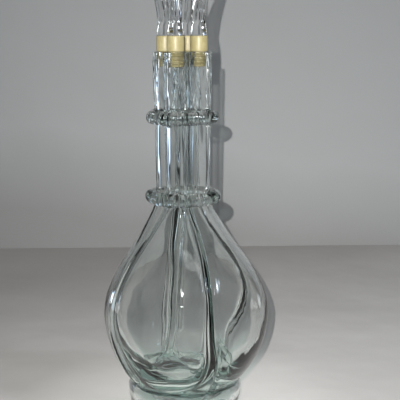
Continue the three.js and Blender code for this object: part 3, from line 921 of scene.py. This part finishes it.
def sleeve_plastic():
    """Milky yellow plastic: a little light passes into it, and its tone is faintly mottled."""
    material = bpy.data.materials.new("sleeve plastic")
    tree = emptied(material)
    place_in = add(tree, "ShaderNodeTexCoord").outputs["Object"]
    noise = add(tree, "ShaderNodeTexNoise", {"Vector": place_in, "Scale": 260, "Detail": 3})
    tone = add(tree, "ShaderNodeValToRGB", {0: noise.outputs[0]})
    for stop, (share, colour) in zip(tone.color_ramp.elements, CREAMS):
        stop.position = share
        stop.color = colour
    bump = add(tree, "ShaderNodeBump", {"Height": noise.outputs[0], "Strength": 0.2, "Distance": 0.0002})
    skin = add(
        tree,
        "ShaderNodeBsdfPrincipled",
        {
            "Base Color": tone.outputs[0],
            "Roughness": 0.5,
            "Subsurface Weight": 0.3,
            "Subsurface Radius": (0.9, 0.8, 0.35),
            "Subsurface Scale": 0.002,
            "Coat Weight": 0.05,
            "Coat Roughness": 0.2,
            "Normal": bump.outputs[0],
        },
    )
    add(tree, "ShaderNodeOutputMaterial", {"Surface": skin.outputs[0]})
    return material


SLEEVE_PLASTIC = sleeve_plastic()
print("plastic:", SLEEVE_PLASTIC.name)

# %% [markdown]
# ## The neck trails
# Two threads of hot glass were laid round the bundle of necks, one half way up and one where the
# necks meet the belly. Such a trail follows a path, so Geometry Nodes sweep a round bead along a
# circle that bulges a little over each neck and sinks between them. Both trails use one tree.

# %% Trails
UPPER_TRAIL = {"Height": 227.6, "Reach": 22.2, "Bead": 4.9, "Lobe": 0.45, "Unevenness": 0.35, "Seed": 3.0}
LOWER_TRAIL = {"Height": 168.4, "Reach": 23.1, "Bead": 5.0, "Lobe": 0.55, "Unevenness": 0.30, "Seed": 8.0}
TRAIL_STEPS = 156
BEAD_STEPS = 24
NECK_COUNT = 4.0
REACH_DRIFT = 3.0
RISE_DRIFT = 4.0
BEAD_DRIFT = 0.5


def trail_tree():
    """A bead swept along a circle with four lobes, whose reach, height and bead drift unevenly."""
    tree, given = new_tree("glass trail", {**UPPER_TRAIL, "Material": ""})
    path = add(tree, "GeometryNodeCurvePrimitiveCircle", {"Resolution": TRAIL_STEPS, "Radius": 1.0})
    where = add(tree, "GeometryNodeInputPosition").outputs[0]
    axes = add(tree, "ShaderNodeSeparateXYZ", {0: where}).outputs
    angle = maths(tree, "ARCTAN2", axes[1], axes[0])
    lobes = maths(tree, "COSINE", maths(tree, "MULTIPLY_ADD", angle, NECK_COUNT, math.pi))
    shifted = add(tree, "ShaderNodeCombineXYZ", {0: axes[0], 1: axes[1], 2: given["Seed"]}).outputs[0]
    noise = add(tree, "ShaderNodeTexNoise", {"Vector": shifted, "Scale": 1.6, "Detail": 2.0})
    uneven = maths(tree, "MULTIPLY", maths(tree, "SUBTRACT", noise.outputs[0], 0.5), given["Unevenness"])
    reach = maths(tree, "MULTIPLY_ADD", lobes, given["Lobe"], given["Reach"])
    reach = maths(tree, "MULTIPLY_ADD", uneven, REACH_DRIFT, reach)
    height = maths(tree, "MULTIPLY_ADD", uneven, RISE_DRIFT, given["Height"])
    flat = add(tree, "ShaderNodeVectorMath", {0: where, 3: reach}, operation="SCALE").outputs[0]
    parts = add(tree, "ShaderNodeSeparateXYZ", {0: flat}).outputs
    placed = add(tree, "ShaderNodeCombineXYZ", {0: parts[0], 1: parts[1], 2: height}).outputs[0]
    laid = add(tree, "GeometryNodeSetPosition", {"Geometry": path.outputs[0], "Position": placed})
    thick = maths(tree, "MULTIPLY", given["Bead"], maths(tree, "MULTIPLY_ADD", uneven, BEAD_DRIFT, 1.0))
    swollen = add(tree, "GeometryNodeSetCurveRadius", {"Curve": laid.outputs[0], "Radius": thick})
    bead = add(tree, "GeometryNodeCurvePrimitiveCircle", {"Resolution": BEAD_STEPS, "Radius": 1.0})
    trail = swept(tree, swollen.outputs[0], bead.outputs[0])
    end_tree(tree, trail.outputs[0], given["Material"])
    return tree


def scaled_to_metres(mesh):
    """A mesh that was made in millimetres, in metres and tidied."""
    mesh.transform(Matrix.Scale(MM, 4))
    return tidy(mesh)


TRAIL_TREE = trail_tree()
empty_mesh = bpy.data.meshes.new("nothing")
trails = []
for name, sizes in (("upper_trail", UPPER_TRAIL), ("lower_trail", LOWER_TRAIL)):
    mesh = scaled_to_metres(run_tree(name, empty_mesh, TRAIL_TREE, {**sizes, "Material": BODY_GLASS}))
    reach = max(math.hypot(v.co.x, v.co.y) for v in mesh.vertices) / MM
    print(name, len(mesh.polygons), "faces, reach", round(reach, 2), "mm, open edges", open_edges(mesh))
    trails.append(mesh)

# %% [markdown]
# ## The foot
# The foot is a separate gather of glass, shaped to a thick open ring and stuck to the bowl. It is a
# turned shape, so a rounded profile is spun round the axis. The part that is fused to the bowl
# reaches a little into the bowl's glass, so that the Boolean leaves one solid.

# %% Foot
FOOT_CORNERS = [  # radius, height, rounding
    (32.6, 0.0, 1.8),
    (38.2, 0.0, 2.6),
    (41.4, 7.5, 6.0),
    (43.5, 17.0, 6.0),
    (43.4, 24.0, 4.0),
    (40.6, 28.6, 1.0),
    (37.0, 27.0, 0.5),
    (36.0, 23.4, 0.5),
    (38.6, 20.0, 2.0),
    (38.0, 14.0, 5.0),
    (34.4, 5.0, 4.0),
]
FOOT_STEPS = 144
foot_mesh = turned(rounded_profile(FOOT_CORNERS), FOOT_STEPS, ring=True).mesh("foot")
print("foot:", len(foot_mesh.polygons), "faces, open edges", open_edges(foot_mesh))

# %% [markdown]
# ## Joining the glass
# The skin, the trails and the foot are one piece of glass, so they are united, and the hollows are
# cut out. The Manifold solver is made for closed, tidy solids like these. After it, only the points
# along the new creases are relaxed a little, because hot glass flows together there.


# %% Boolean
def combined(base, others, operation):
    """The base mesh with each of the others united to it or cut from it."""
    obj = place(bpy.data.objects.new("joining", base))
    tools = []
    for mesh in others:
        tool = place(bpy.data.objects.new("tool", mesh))
        modifier = obj.modifiers.new("join", "BOOLEAN")
        modifier.operation = operation
        modifier.object = tool
        modifier.solver = "MANIFOLD"
        tools.append(tool)
    mesh = baked(obj)
    for used in (obj, *tools):
        bpy.data.objects.remove(used)
    return mesh


def relax_creases(mesh, angle=28, rounds=5, keep_below=2.0, keep_above=268.0):
    """Softens the creases sharper than an angle, apart from the foot's rim and the lips."""
    bm = bmesh.new()
    bm.from_mesh(mesh)
    sharp = set()
    for edge in bm.edges:
        if edge.is_manifold and edge.calc_face_angle(0) > math.radians(angle):
            sharp.update(edge.verts)
    near = {v for s in sharp for e in s.link_edges for v in e.verts}
    chosen = [v for v in near if keep_below * MM < v.co.z < keep_above * MM]
    for _ in range(rounds):
        bmesh.ops.smooth_vert(bm, verts=chosen, factor=0.5, use_axis_x=True, use_axis_y=True, use_axis_z=True)
    bm.to_mesh(mesh)
    bm.free()
    return len(chosen)


joined = combined(outer_mesh, [*trails, foot_mesh], "UNION")
print("united:", len(joined.polygons), "faces, open edges", open_edges(joined))
joined = combined(joined, hollows, "DIFFERENCE")
joined.name = "decanter_glass"
softened = relax_creases(joined)
triangles = sum(len(p.vertices) - 2 for p in joined.polygons)
print("glass body:", triangles, "triangles,", softened, "crease points relaxed, open edges", open_edges(joined))

# %% Glass body
glass_nodes = [f"chamber_{c}" for c in (1, 2, 3, 4)] + ["upper_neck_ring", "lower_neck_ring", "foot_ring"]
decanter_glass = place(bpy.data.objects.new("decanter_glass", joined))
finished(decanter_glass, "decanter", BODY_GLASS, glass_nodes)

# %% [markdown]
# ## The sleeves
# Each stopper sits in a sleeve of cream-yellow plastic: a plain head that rests on the lip and a
# plug that goes down the bore. The head and the plug are one turned shape with a socket for the
# finial. The soft ribs that grip the bore repeat, so Geometry Nodes set out as many rings as asked.

# %% Sleeves
SLEEVE_RADIUS = 6.4
SLEEVE_HEAD = 11.4
PLUG_RADIUS = 4.95
PLUG_LENGTH = 10.7
SOCKET_RADIUS = 4.25
SOCKET_FOOT = -7.5
SLEEVE_CORNERS = [  # radius, height above the lip, rounding
    (0.0, -PLUG_LENGTH, 0.0),
    (PLUG_RADIUS, -PLUG_LENGTH, 0.8),
    (PLUG_RADIUS, 0.2, 0.3),
    (SLEEVE_RADIUS, 0.2, 0.6),
    (SLEEVE_RADIUS + 0.05, SLEEVE_HEAD * 0.5, 3.0),
    (SLEEVE_RADIUS - 0.1, SLEEVE_HEAD, 0.7),
    (SOCKET_RADIUS, SLEEVE_HEAD, 0.4),
    (SOCKET_RADIUS, SOCKET_FOOT, 0.4),
    (0.0, SOCKET_FOOT, 0.0),
]
SLEEVE_STEPS = 72
RIBS = {"Count": 3, "Pitch": 2.7, "Foot": -8.0, "Radius": PLUG_RADIUS - 0.1, "Rib": 0.42}
RIB_STEPS = 56
RIB_SIDES = 10


def rib_tree():
    """Round ribs that stand one above the other: a line of points with a ring on each."""
    tree, given = new_tree("plug ribs", {**RIBS, "Material": ""})
    rise = add(tree, "ShaderNodeCombineXYZ", {2: given["Pitch"]}).outputs[0]
    foot = add(tree, "ShaderNodeCombineXYZ", {2: given["Foot"]}).outputs[0]
    line = add(tree, "GeometryNodeMeshLine", {"Count": given["Count"], "Start Location": foot, "Offset": rise})
    path = add(tree, "GeometryNodeCurvePrimitiveCircle", {"Resolution": RIB_STEPS, "Radius": given["Radius"]})
    bead = add(tree, "GeometryNodeCurvePrimitiveCircle", {"Resolution": RIB_SIDES, "Radius": given["Rib"]})
    ring = add(tree, "GeometryNodeCurveToMesh", {"Curve": path.outputs[0], "Profile Curve": bead.outputs[0]})
    set_out = add(tree, "GeometryNodeInstanceOnPoints", {"Points": line.outputs[0], "Instance": ring.outputs[0]})
    end_tree(tree, set_out.outputs[0], given["Material"])
    return tree


RIB_TREE = rib_tree()


def sleeve_mesh():
    """One sleeve at the origin, with the level of the lip at zero."""
    body = turned(rounded_profile(SLEEVE_CORNERS, step=0.3), SLEEVE_STEPS).mesh("sleeve")
    ribs = scaled_to_metres(run_tree("ribs", empty_mesh, RIB_TREE, {**RIBS, "Material": SLEEVE_PLASTIC}))
    return combined(body, [ribs], "UNION")


plain_sleeve = sleeve_mesh()
for c in range(4):
    x, y = neck_centre(c, LIP_HEIGHT)
    mesh = plain_sleeve.copy()
    mesh.transform(Matrix.Translation((x * MM, y * MM, LIP_HEIGHT * MM)))
    sleeve = place(bpy.data.objects.new(f"sleeve_{c + 1}", mesh))
    finished(sleeve, f"stopper_{c + 1}", SLEEVE_PLASTIC, [f"stopper_sleeve_{c + 1}"])

# %% [markdown]
# ## The finials
# A finial is solid glass, pulled out while hot: a plain round base on the sleeve, a waist, and a
# ribbed blade that bends away from its neighbours. It follows a path with a changing thickness, so
# a curve is drawn for the path, and Geometry Nodes sweep a circle along it. Two float curves in the
# tree give the thickness and the depth of the flutes along the way.

# %% Finials
FINIAL_HEIGHT = 58.0
FINIAL_FOOT = -18.7
FINIAL_STEPS = 110
FINIAL_SIDES = 60
BLADE_FOOT = 9
BEND = ((0, BLADE_FOOT), (0, 27.3), (8.5, 40.6), (15.5, FINIAL_HEIGHT))
STRAIGHT_POINTS = 30
BEND_POINTS = 70


def finial_path():
    """Points of the path in the plane of the bend: straight up to the waist, then curving outwards."""
    rise = np.linspace(FINIAL_FOOT, BLADE_FOOT, STRAIGHT_POINTS, endpoint=False)
    straight = np.column_stack([np.zeros(STRAIGHT_POINTS), rise])
    t = np.linspace(0, 1, BEND_POINTS)[:, None]
    p = np.array(BEND, float)
    curved = p[0] * (1 - t) ** 3 + 3 * p[1] * t * (1 - t) ** 2 + 3 * p[2] * t**2 * (1 - t) + p[3] * t**3
    points = np.concatenate([straight, curved])
    length = np.concatenate([[0], np.cumsum(np.linalg.norm(np.diff(points, axis=0), axis=1))])
    even = np.linspace(0, length[-1], FINIAL_STEPS)
    return np.stack([np.interp(even, length, points[:, k]) for k in (0, 1)], -1), length[-1]


path_points, path_length = finial_path()
FULL_THICKNESS = 7.0  # the radius in mm that the top of the thickness curve stands for
THICKNESS = [(0, 3.4), (0.6, 3.9), (18.6, 3.9), (18.9, 6.1), (20.5, 6.1), (26.2, 5.15), (28.2, 5.1), (31, 5.4)]
THICKNESS += [(36, 5.6), (44, 5.35), (54, 4.5), (64, 3.3), (72, 1.9), (77, 0.8), (path_length, 0.15)]
FLUTING = [(0, 0), (26, 0), (30, 0.7), (38, 1), (68, 1), (path_length, 0.3)]


def set_curve(node, points, top):
    """Fills a float curve: points are (place in mm, value) and become shares of the path and the top."""
    curve = node.mapping.curves[0]
    for i, (at, value) in enumerate(points):
        x, y = at / path_length, value / top
        if i == 0 or i == len(points) - 1:
            curve.points[0 if i == 0 else -1].location = (x, y)
        else:
            curve.points.new(x, y)
    for point in curve.points:
        point.handle_type = "VECTOR"
    node.mapping.update()


def finial_tree():
    """A round bar swept along the path, with flutes pressed into it where the blade is."""
    sizes = {"Thickness": FULL_THICKNESS, "Flutes": 6.0, "Flute depth": 0.2, "Sides": FINIAL_SIDES, "Material": ""}
    tree, given = new_tree("pulled finial", sizes)
    along = add(tree, "GeometryNodeSplineParameter").outputs["Factor"]
    where = add(tree, "GeometryNodeInputPosition").outputs[0]
    shape = add(tree, "ShaderNodeFloatCurve", {"Value": along})
    set_curve(shape, THICKNESS, FULL_THICKNESS)
    radius = maths(tree, "MULTIPLY", shape.outputs[0], given["Thickness"])
    kept = stored(tree, given["Geometry"], "along", "FLOAT", along)
    kept = stored(tree, kept, "middle", "FLOAT_VECTOR", where)
    path = add(tree, "GeometryNodeSetCurveRadius", {"Curve": kept, "Radius": radius}).outputs[0]
    ring = add(tree, "GeometryNodeCurvePrimitiveCircle", {"Resolution": given["Sides"], "Radius": 1.0}).outputs[0]
    axes = add(tree, "ShaderNodeSeparateXYZ", {0: where}).outputs
    ring = stored(tree, ring, "turn", "FLOAT", maths(tree, "ARCTAN2", axes[1], axes[0]))
    blade = swept(tree, path, ring)
    blade.inputs["Fill Caps"].default_value = True
    depth = add(tree, "ShaderNodeFloatCurve", {"Value": recalled(tree, "along", "FLOAT")})
    set_curve(depth, FLUTING, 1.0)
    middle, turn = recalled(tree, "middle", "FLOAT_VECTOR"), recalled(tree, "turn", "FLOAT")
    half_turns = maths(tree, "MULTIPLY", maths(tree, "MULTIPLY", turn, given["Flutes"]), 0.5)
    valley = maths(tree, "ABSOLUTE", maths(tree, "SINE", half_turns))
    cut = maths(tree, "MULTIPLY", maths(tree, "MULTIPLY", valley, depth.outputs[0]), given["Flute depth"])
    away = add(tree, "ShaderNodeVectorMath", {0: where, 1: middle}, operation="SUBTRACT").outputs[0]
    back = maths(tree, "MULTIPLY", cut, -1.0)
    inwards = add(tree, "ShaderNodeVectorMath", {0: away, 3: back}, operation="SCALE").outputs[0]
    fluted = add(tree, "GeometryNodeSetPosition", {"Geometry": blade.outputs[0], "Offset": inwards})
    end_tree(tree, fluted.outputs[0], given["Material"])
    return tree


FINIAL_TREE = finial_tree()
FINIALS = [  # the radius at the curve's top, flutes and flute depth: no two pulls are alike
    (7.0, 7.0, 0.26),
    (7.1, 7.0, 0.28),
    (6.9, 6.0, 0.28),
    (7.0, 7.0, 0.25),
]


def finial_curve(c):
    """The path of one finial at its neck, bending away from the decanter's axis."""
    centre = neck_centre(c, LIP_HEIGHT)
    out = centre / np.linalg.norm(centre)
    curve = bpy.data.curves.new(f"finial_path_{c + 1}", "CURVE")
    curve.dimensions = "3D"
    spline = curve.splines.new("POLY")
    spline.points.add(len(path_points) - 1)
    for point, (x, z) in zip(spline.points, path_points):
        at = centre + out * x
        point.co = (*at, LIP_HEIGHT + SLEEVE_HEAD + z, 1)
    return curve


for c, (thickness, flutes, depth) in enumerate(FINIALS):
    values = {"Thickness": thickness, "Flutes": flutes, "Flute depth": depth, "Material": FINIAL_GLASS}
    mesh = scaled_to_metres(run_tree(f"finial_glass_{c + 1}", finial_curve(c), FINIAL_TREE, values))
    finial = place(bpy.data.objects.new(f"finial_glass_{c + 1}", mesh))
    finished(finial, f"stopper_{c + 1}", FINIAL_GLASS, [f"finial_{c + 1}"])

# %% [markdown]
# ## Floor and backdrop
# The decanter stands on a pale table cloth before a grey one that hangs behind it. Two flat sheets
# do for that. What makes them cloth is their matt finish with broad faint folds. Their tone holds
# painted shade that changes slowly over the sheet: the floor darkens towards the back and the left,
# the backdrop towards the left and the bottom. Glass gathers the lamp's light on the cloth round its
# foot. Tracing that light takes very many samples, so the floor is painted paler there, as painted
# light. The cloths are clear from behind, so the decanter can be looked at from the back.


# %% Cloth
def cloth(name, near, shaded_tone, towards, start, fold_size, fold_depth, painted_light_pool=None):
    """Matt cloth with painted shade: its tone darkens from the near tone to the shaded one along a direction.

    The direction's length is 1 over the distance in metres that the change takes. The painted light
    round the decanter, last of all, is a paler place given by its inner and outer radius in metres
    and its tone."""
    material = bpy.data.materials.new(name)
    tree = emptied(material)
    place_in = add(tree, "ShaderNodeTexCoord").outputs["Object"]
    folds = add(tree, "ShaderNodeTexNoise", {"Vector": place_in, "Scale": fold_size, "Detail": 3})
    bump = add(tree, "ShaderNodeBump", {"Height": folds.outputs[0], "Strength": 0.5, "Distance": fold_depth})
    along = add(tree, "ShaderNodeVectorMath", {0: place_in, 1: towards}, operation="DOT_PRODUCT").outputs["Value"]
    patchy = maths(tree, "MULTIPLY_ADD", folds.outputs[0], 0.5, -0.25)
    share = add(tree, "ShaderNodeMapRange", {0: maths(tree, "ADD", along, patchy), 1: start, 2: start + 1.0})
    # painted shade: the tone darkens from the near tone to the shaded one along the direction
    painted_shade_tones = add(tree, "ShaderNodeMix", {0: share.outputs[0]}, data_type="RGBA")
    painted_shade_tones.inputs[6].default_value = (*near, 1)
    painted_shade_tones.inputs[7].default_value = (*shaded_tone, 1)
    shown = painted_shade_tones.outputs[2]
    # painted light: a paler place round the axis stands in for the lamp's light that the glass gathers there
    if painted_light_pool:
        inner, outer, tone = painted_light_pool
        radius = add(tree, "ShaderNodeVectorMath", {0: place_in}, operation="LENGTH").outputs["Value"]
        share = add(tree, "ShaderNodeMapRange", {0: radius, 1: inner, 2: outer, 3: 1.0, 4: 0.0}).outputs[0]
        gathered = add(tree, "ShaderNodeMix", {0: share, 6: shown}, data_type="RGBA")
        gathered.inputs[7].default_value = (*tone, 1)
        shown = gathered.outputs[2]
    matt = add(tree, "ShaderNodeBsdfPrincipled", {"Base Color": shown, "Roughness": 0.9})
    tree.links.new(bump.outputs[0], matt.inputs["Normal"])
    clear = add(tree, "ShaderNodeBsdfTransparent")
    behind = add(tree, "ShaderNodeNewGeometry").outputs["Backfacing"]
    one_sided = add(tree, "ShaderNodeMixShader", {0: behind, 1: matt.outputs[0], 2: clear.outputs[0]})
    add(tree, "ShaderNodeOutputMaterial", {"Surface": one_sided.outputs[0]})
    return material


# %% Stage
WALL_DISTANCE = 555.0
STAGE_WIDTH = 1300.0
STAGE_HEIGHT = 900.0
STAGE_FRONT = -900.0
FLOOR_LEVEL = -0.2  # a hair under the foot, so that the two never share a plane
ahead = -direction(math.radians(CAMERA_AZIMUTH))
aside = np.array([ahead[1], -ahead[0]])


def sheet(name, rows, material):
    """A sheet across the view, from rows of (distance along the view, height)."""
    points = []
    for away, height in rows:
        for side in (-1, 1):
            points.append((*(ahead * away + aside * side * STAGE_WIDTH / 2) * MM, height * MM))
    mesh = bpy.data.meshes.new(name)
    mesh.from_pydata(points, [], [[2 * i, 2 * i + 1, 2 * i + 3, 2 * i + 2] for i in range(len(rows) - 1)])
    mesh.shade_smooth()
    mesh.materials.append(material)
    return place(bpy.data.objects.new(name, mesh))


# painted shade: the floor's tone darkens towards the back and the left
floor_cloth = cloth(
    "floor cloth",
    near=(0.62, 0.61, 0.60),
    shaded_tone=(0.385, 0.365, 0.35),
    towards=(*(ahead / 0.45 - aside / 0.9), 0),
    start=0.05,
    fold_size=9,
    fold_depth=0.006,
    # painted light round the foot: inner and outer radius in metres, and its tone
    painted_light_pool=(0.05, 0.14, (0.80, 0.79, 0.775)),
)
# painted shade: the backdrop's tone darkens towards the left and the bottom
wall_cloth = cloth(
    "wall cloth",
    near=(0.44, 0.455, 0.465),
    shaded_tone=(0.31, 0.315, 0.315),
    towards=(*(-aside / 0.9), -1 / 0.12),
    start=-1.2,
    fold_size=5,
    fold_depth=0.02,
)
bend = (WALL_DISTANCE, FLOOR_LEVEL)
floor = sheet("floor", [(STAGE_FRONT, FLOOR_LEVEL), bend], floor_cloth)
wall = sheet("backdrop", [bend, (WALL_DISTANCE, STAGE_HEIGHT)], wall_cloth)
print("floor", WALL_DISTANCE - STAGE_FRONT, "mm deep, backdrop", WALL_DISTANCE, "mm behind the axis")

# %% [markdown]
# ## Lights
# The picture was taken with a small lamp close to the lens. It throws the sharp shadow that shows
# right of the necks and darkens what is seen through the belly. Cool daylight comes softly from the
# right. A disk lamp of a few millimetres makes the first, and a wide disk the second.


# %% Lights
LENS_LAMP_RISE = 28  # mm above the lens
LENS_LAMP_SHIFT = -21


def lamp(name, location, target, size, watts, colour):
    """A round soft lamp that looks at a target. Places are in millimetres."""
    light = bpy.data.lights.new(name, "AREA")
    light.shape = "DISK"
    light.size = size * MM
    light.energy = watts
    light.color = colour
    obj = place(bpy.data.objects.new(name, light))
    obj.location = np.array(location) * MM
    aim = Vector(np.array(target) * MM) - obj.location
    obj.rotation_euler = aim.to_track_quat("-Z", "Y").to_euler()
    return obj


def in_view(away, side, height):
    """A place given by how far it is along the view, to the right of it, and up."""
    return (*(ahead * away + aside * side), height)


lens_lamp = lamp(
    "lens lamp",
    location=in_view(-CAMERA_DISTANCE, LENS_LAMP_SHIFT, CAMERA_HEIGHT + LENS_LAMP_RISE),
    target=in_view(0, 55, 120),
    size=3.5,
    watts=2.35,
    colour=(1.0, 0.975, 0.94),
)
lens_lamp.data.spread = math.radians(90)
daylight = lamp(
    "daylight",
    location=in_view(-200, 1250, 700),
    target=(0, 0, 200),
    size=700,
    watts=1.2,
    colour=(0.86, 0.94, 1.0),
)
daylight.visible_glossy = False
daylight.visible_transmission = False
print("lamps, in W:", {obj.name: round(obj.data.energy, 2) for obj in (lens_lamp, daylight)})

# %% [markdown]
# ## The room round the decanter
# Clear glass has no colour to show; what one sees in it is the room. A plain grey world makes glass
# look like plastic. So the world is a dim room with a few soft bright places, each a round spot in a
# direction, and each there for one thing that the picture shows. Small strong ones make the bright
# dots on the belly: a dot's place says where its lamp must be, by the law of the mirror. The thick
# glass of the necks shows the room past both ends of the backdrop, close to the horizon, so narrow
# places there make the long white streaks. The finials show it further down, and the seams of the
# belly further up. A lit ceiling softens the rest. The camera itself sees only the dim room.

# %% Room
ROOM_TONE = (0.066, 0.067, 0.067)
BRIGHT_PLACES = [  # azimuth from the camera's, elevation, angular radius, softness, strength, colour
    # the bluish glint and the two dots on the belly
    (55, 38, 5, 4, 9.0, (0.62, 0.78, 1.0)),
    (55, 37.5, 2.2, 1, 50.0, (1.0, 1.0, 1.0)),
    (-7, 38.5, 1.8, 1.0, 30.0, (1.0, 1.0, 1.0)),
    (-7, 27.5, 0.8, 0.6, 40.0, (1.0, 1.0, 1.0)),
    # the streaks in the necks
    (113, 0, 4, 1.5, 1.8, (1.0, 1.0, 0.98)),
    (126, -3, 4, 1.5, 1.5, (0.92, 0.97, 1.0)),
    (-112, -1, 5, 1.5, 2.3, (1.0, 1.0, 1.0)),
    (-125, -3, 6, 2, 2.1, (0.60, 0.77, 1.0)),
    # the ribs of the finials
    (110, -17, 7.5, 2, 4.0, (0.96, 1.0, 1.0)),
    (125, -17, 7.5, 2, 4.0, (0.90, 0.98, 1.0)),
    (-110, -17, 7.5, 2, 4.0, (0.96, 1.0, 1.0)),
    (-125, -17, 7.5, 2, 4.0, (0.80, 0.92, 1.0)),
    # the dark lines of the seams, and the ceiling
    (118, 18, 13, 6, 0.2, (0.9, 1.0, 0.96)),
    (-118, 18, 13, 6, 0.2, (0.9, 1.0, 0.96)),
    (0, 79, 17, 3, 0.7, (0.97, 1.0, 0.99)),
]


def towards(azimuth, elevation):
    """The direction with an azimuth counted from the camera's and an elevation, in degrees."""
    level_part = direction(math.radians(CAMERA_AZIMUTH + azimuth)) * math.cos(math.radians(elevation))
    return (*level_part, math.sin(math.radians(elevation)))


def room_world():
    """A world of one dim tone with a soft round spot for each bright place."""
    world = bpy.data.worlds.new("room")
    tree = emptied(world)
    looking = add(tree, "ShaderNodeTexCoord").outputs["Generated"]
    total = ROOM_TONE
    for azimuth, elevation, radius, softness, strength, colour in BRIGHT_PLACES:
        way = {0: looking, 1: towards(azimuth, elevation)}
        facing = add(tree, "ShaderNodeVectorMath", way, operation="DOT_PRODUCT").outputs["Value"]
        edge = [math.cos(math.radians(radius + softness / 2 * side)) for side in (1, -1)]
        spot = add(tree, "ShaderNodeMapRange", {0: facing, 1: edge[0], 2: edge[1], 3: 0.0, 4: strength})
        spot.interpolation_type = "SMOOTHSTEP"
        glow = add(tree, "ShaderNodeVectorMath", {0: colour, 3: spot.outputs[0]}, operation="SCALE").outputs[0]
        total = add(tree, "ShaderNodeVectorMath", {0: total, 1: glow}, operation="ADD").outputs[0]
    room = add(tree, "ShaderNodeBackground", {"Color": total, "Strength": 1.0})
    bare = add(tree, "ShaderNodeBackground", {"Color": (*ROOM_TONE, 1), "Strength": 1.0})
    from_camera = add(tree, "ShaderNodeLightPath").outputs["Is Camera Ray"]
    seen = add(tree, "ShaderNodeMixShader", {0: from_camera, 1: room.outputs[0], 2: bare.outputs[0]})
    add(tree, "ShaderNodeOutputWorld", {"Surface": seen.outputs[0]})
    return world


# %% World and light paths
GLASS_BOUNCES = 24  # a ray through four hollow bottles and the foot crosses many surfaces
SHADOW_LAYERS = 32
scene = bpy.context.scene
scene.world = room_world()
scene.view_settings.view_transform = "Standard"
scene.cycles.caustics_refractive = False
scene.cycles.caustics_reflective = False
scene.cycles.max_bounces = GLASS_BOUNCES
scene.cycles.transmission_bounces = GLASS_BOUNCES
scene.cycles.transparent_max_bounces = SHADOW_LAYERS
print("room:", len(BRIGHT_PLACES), "bright places, rays turn up to", scene.cycles.max_bounces, "times")
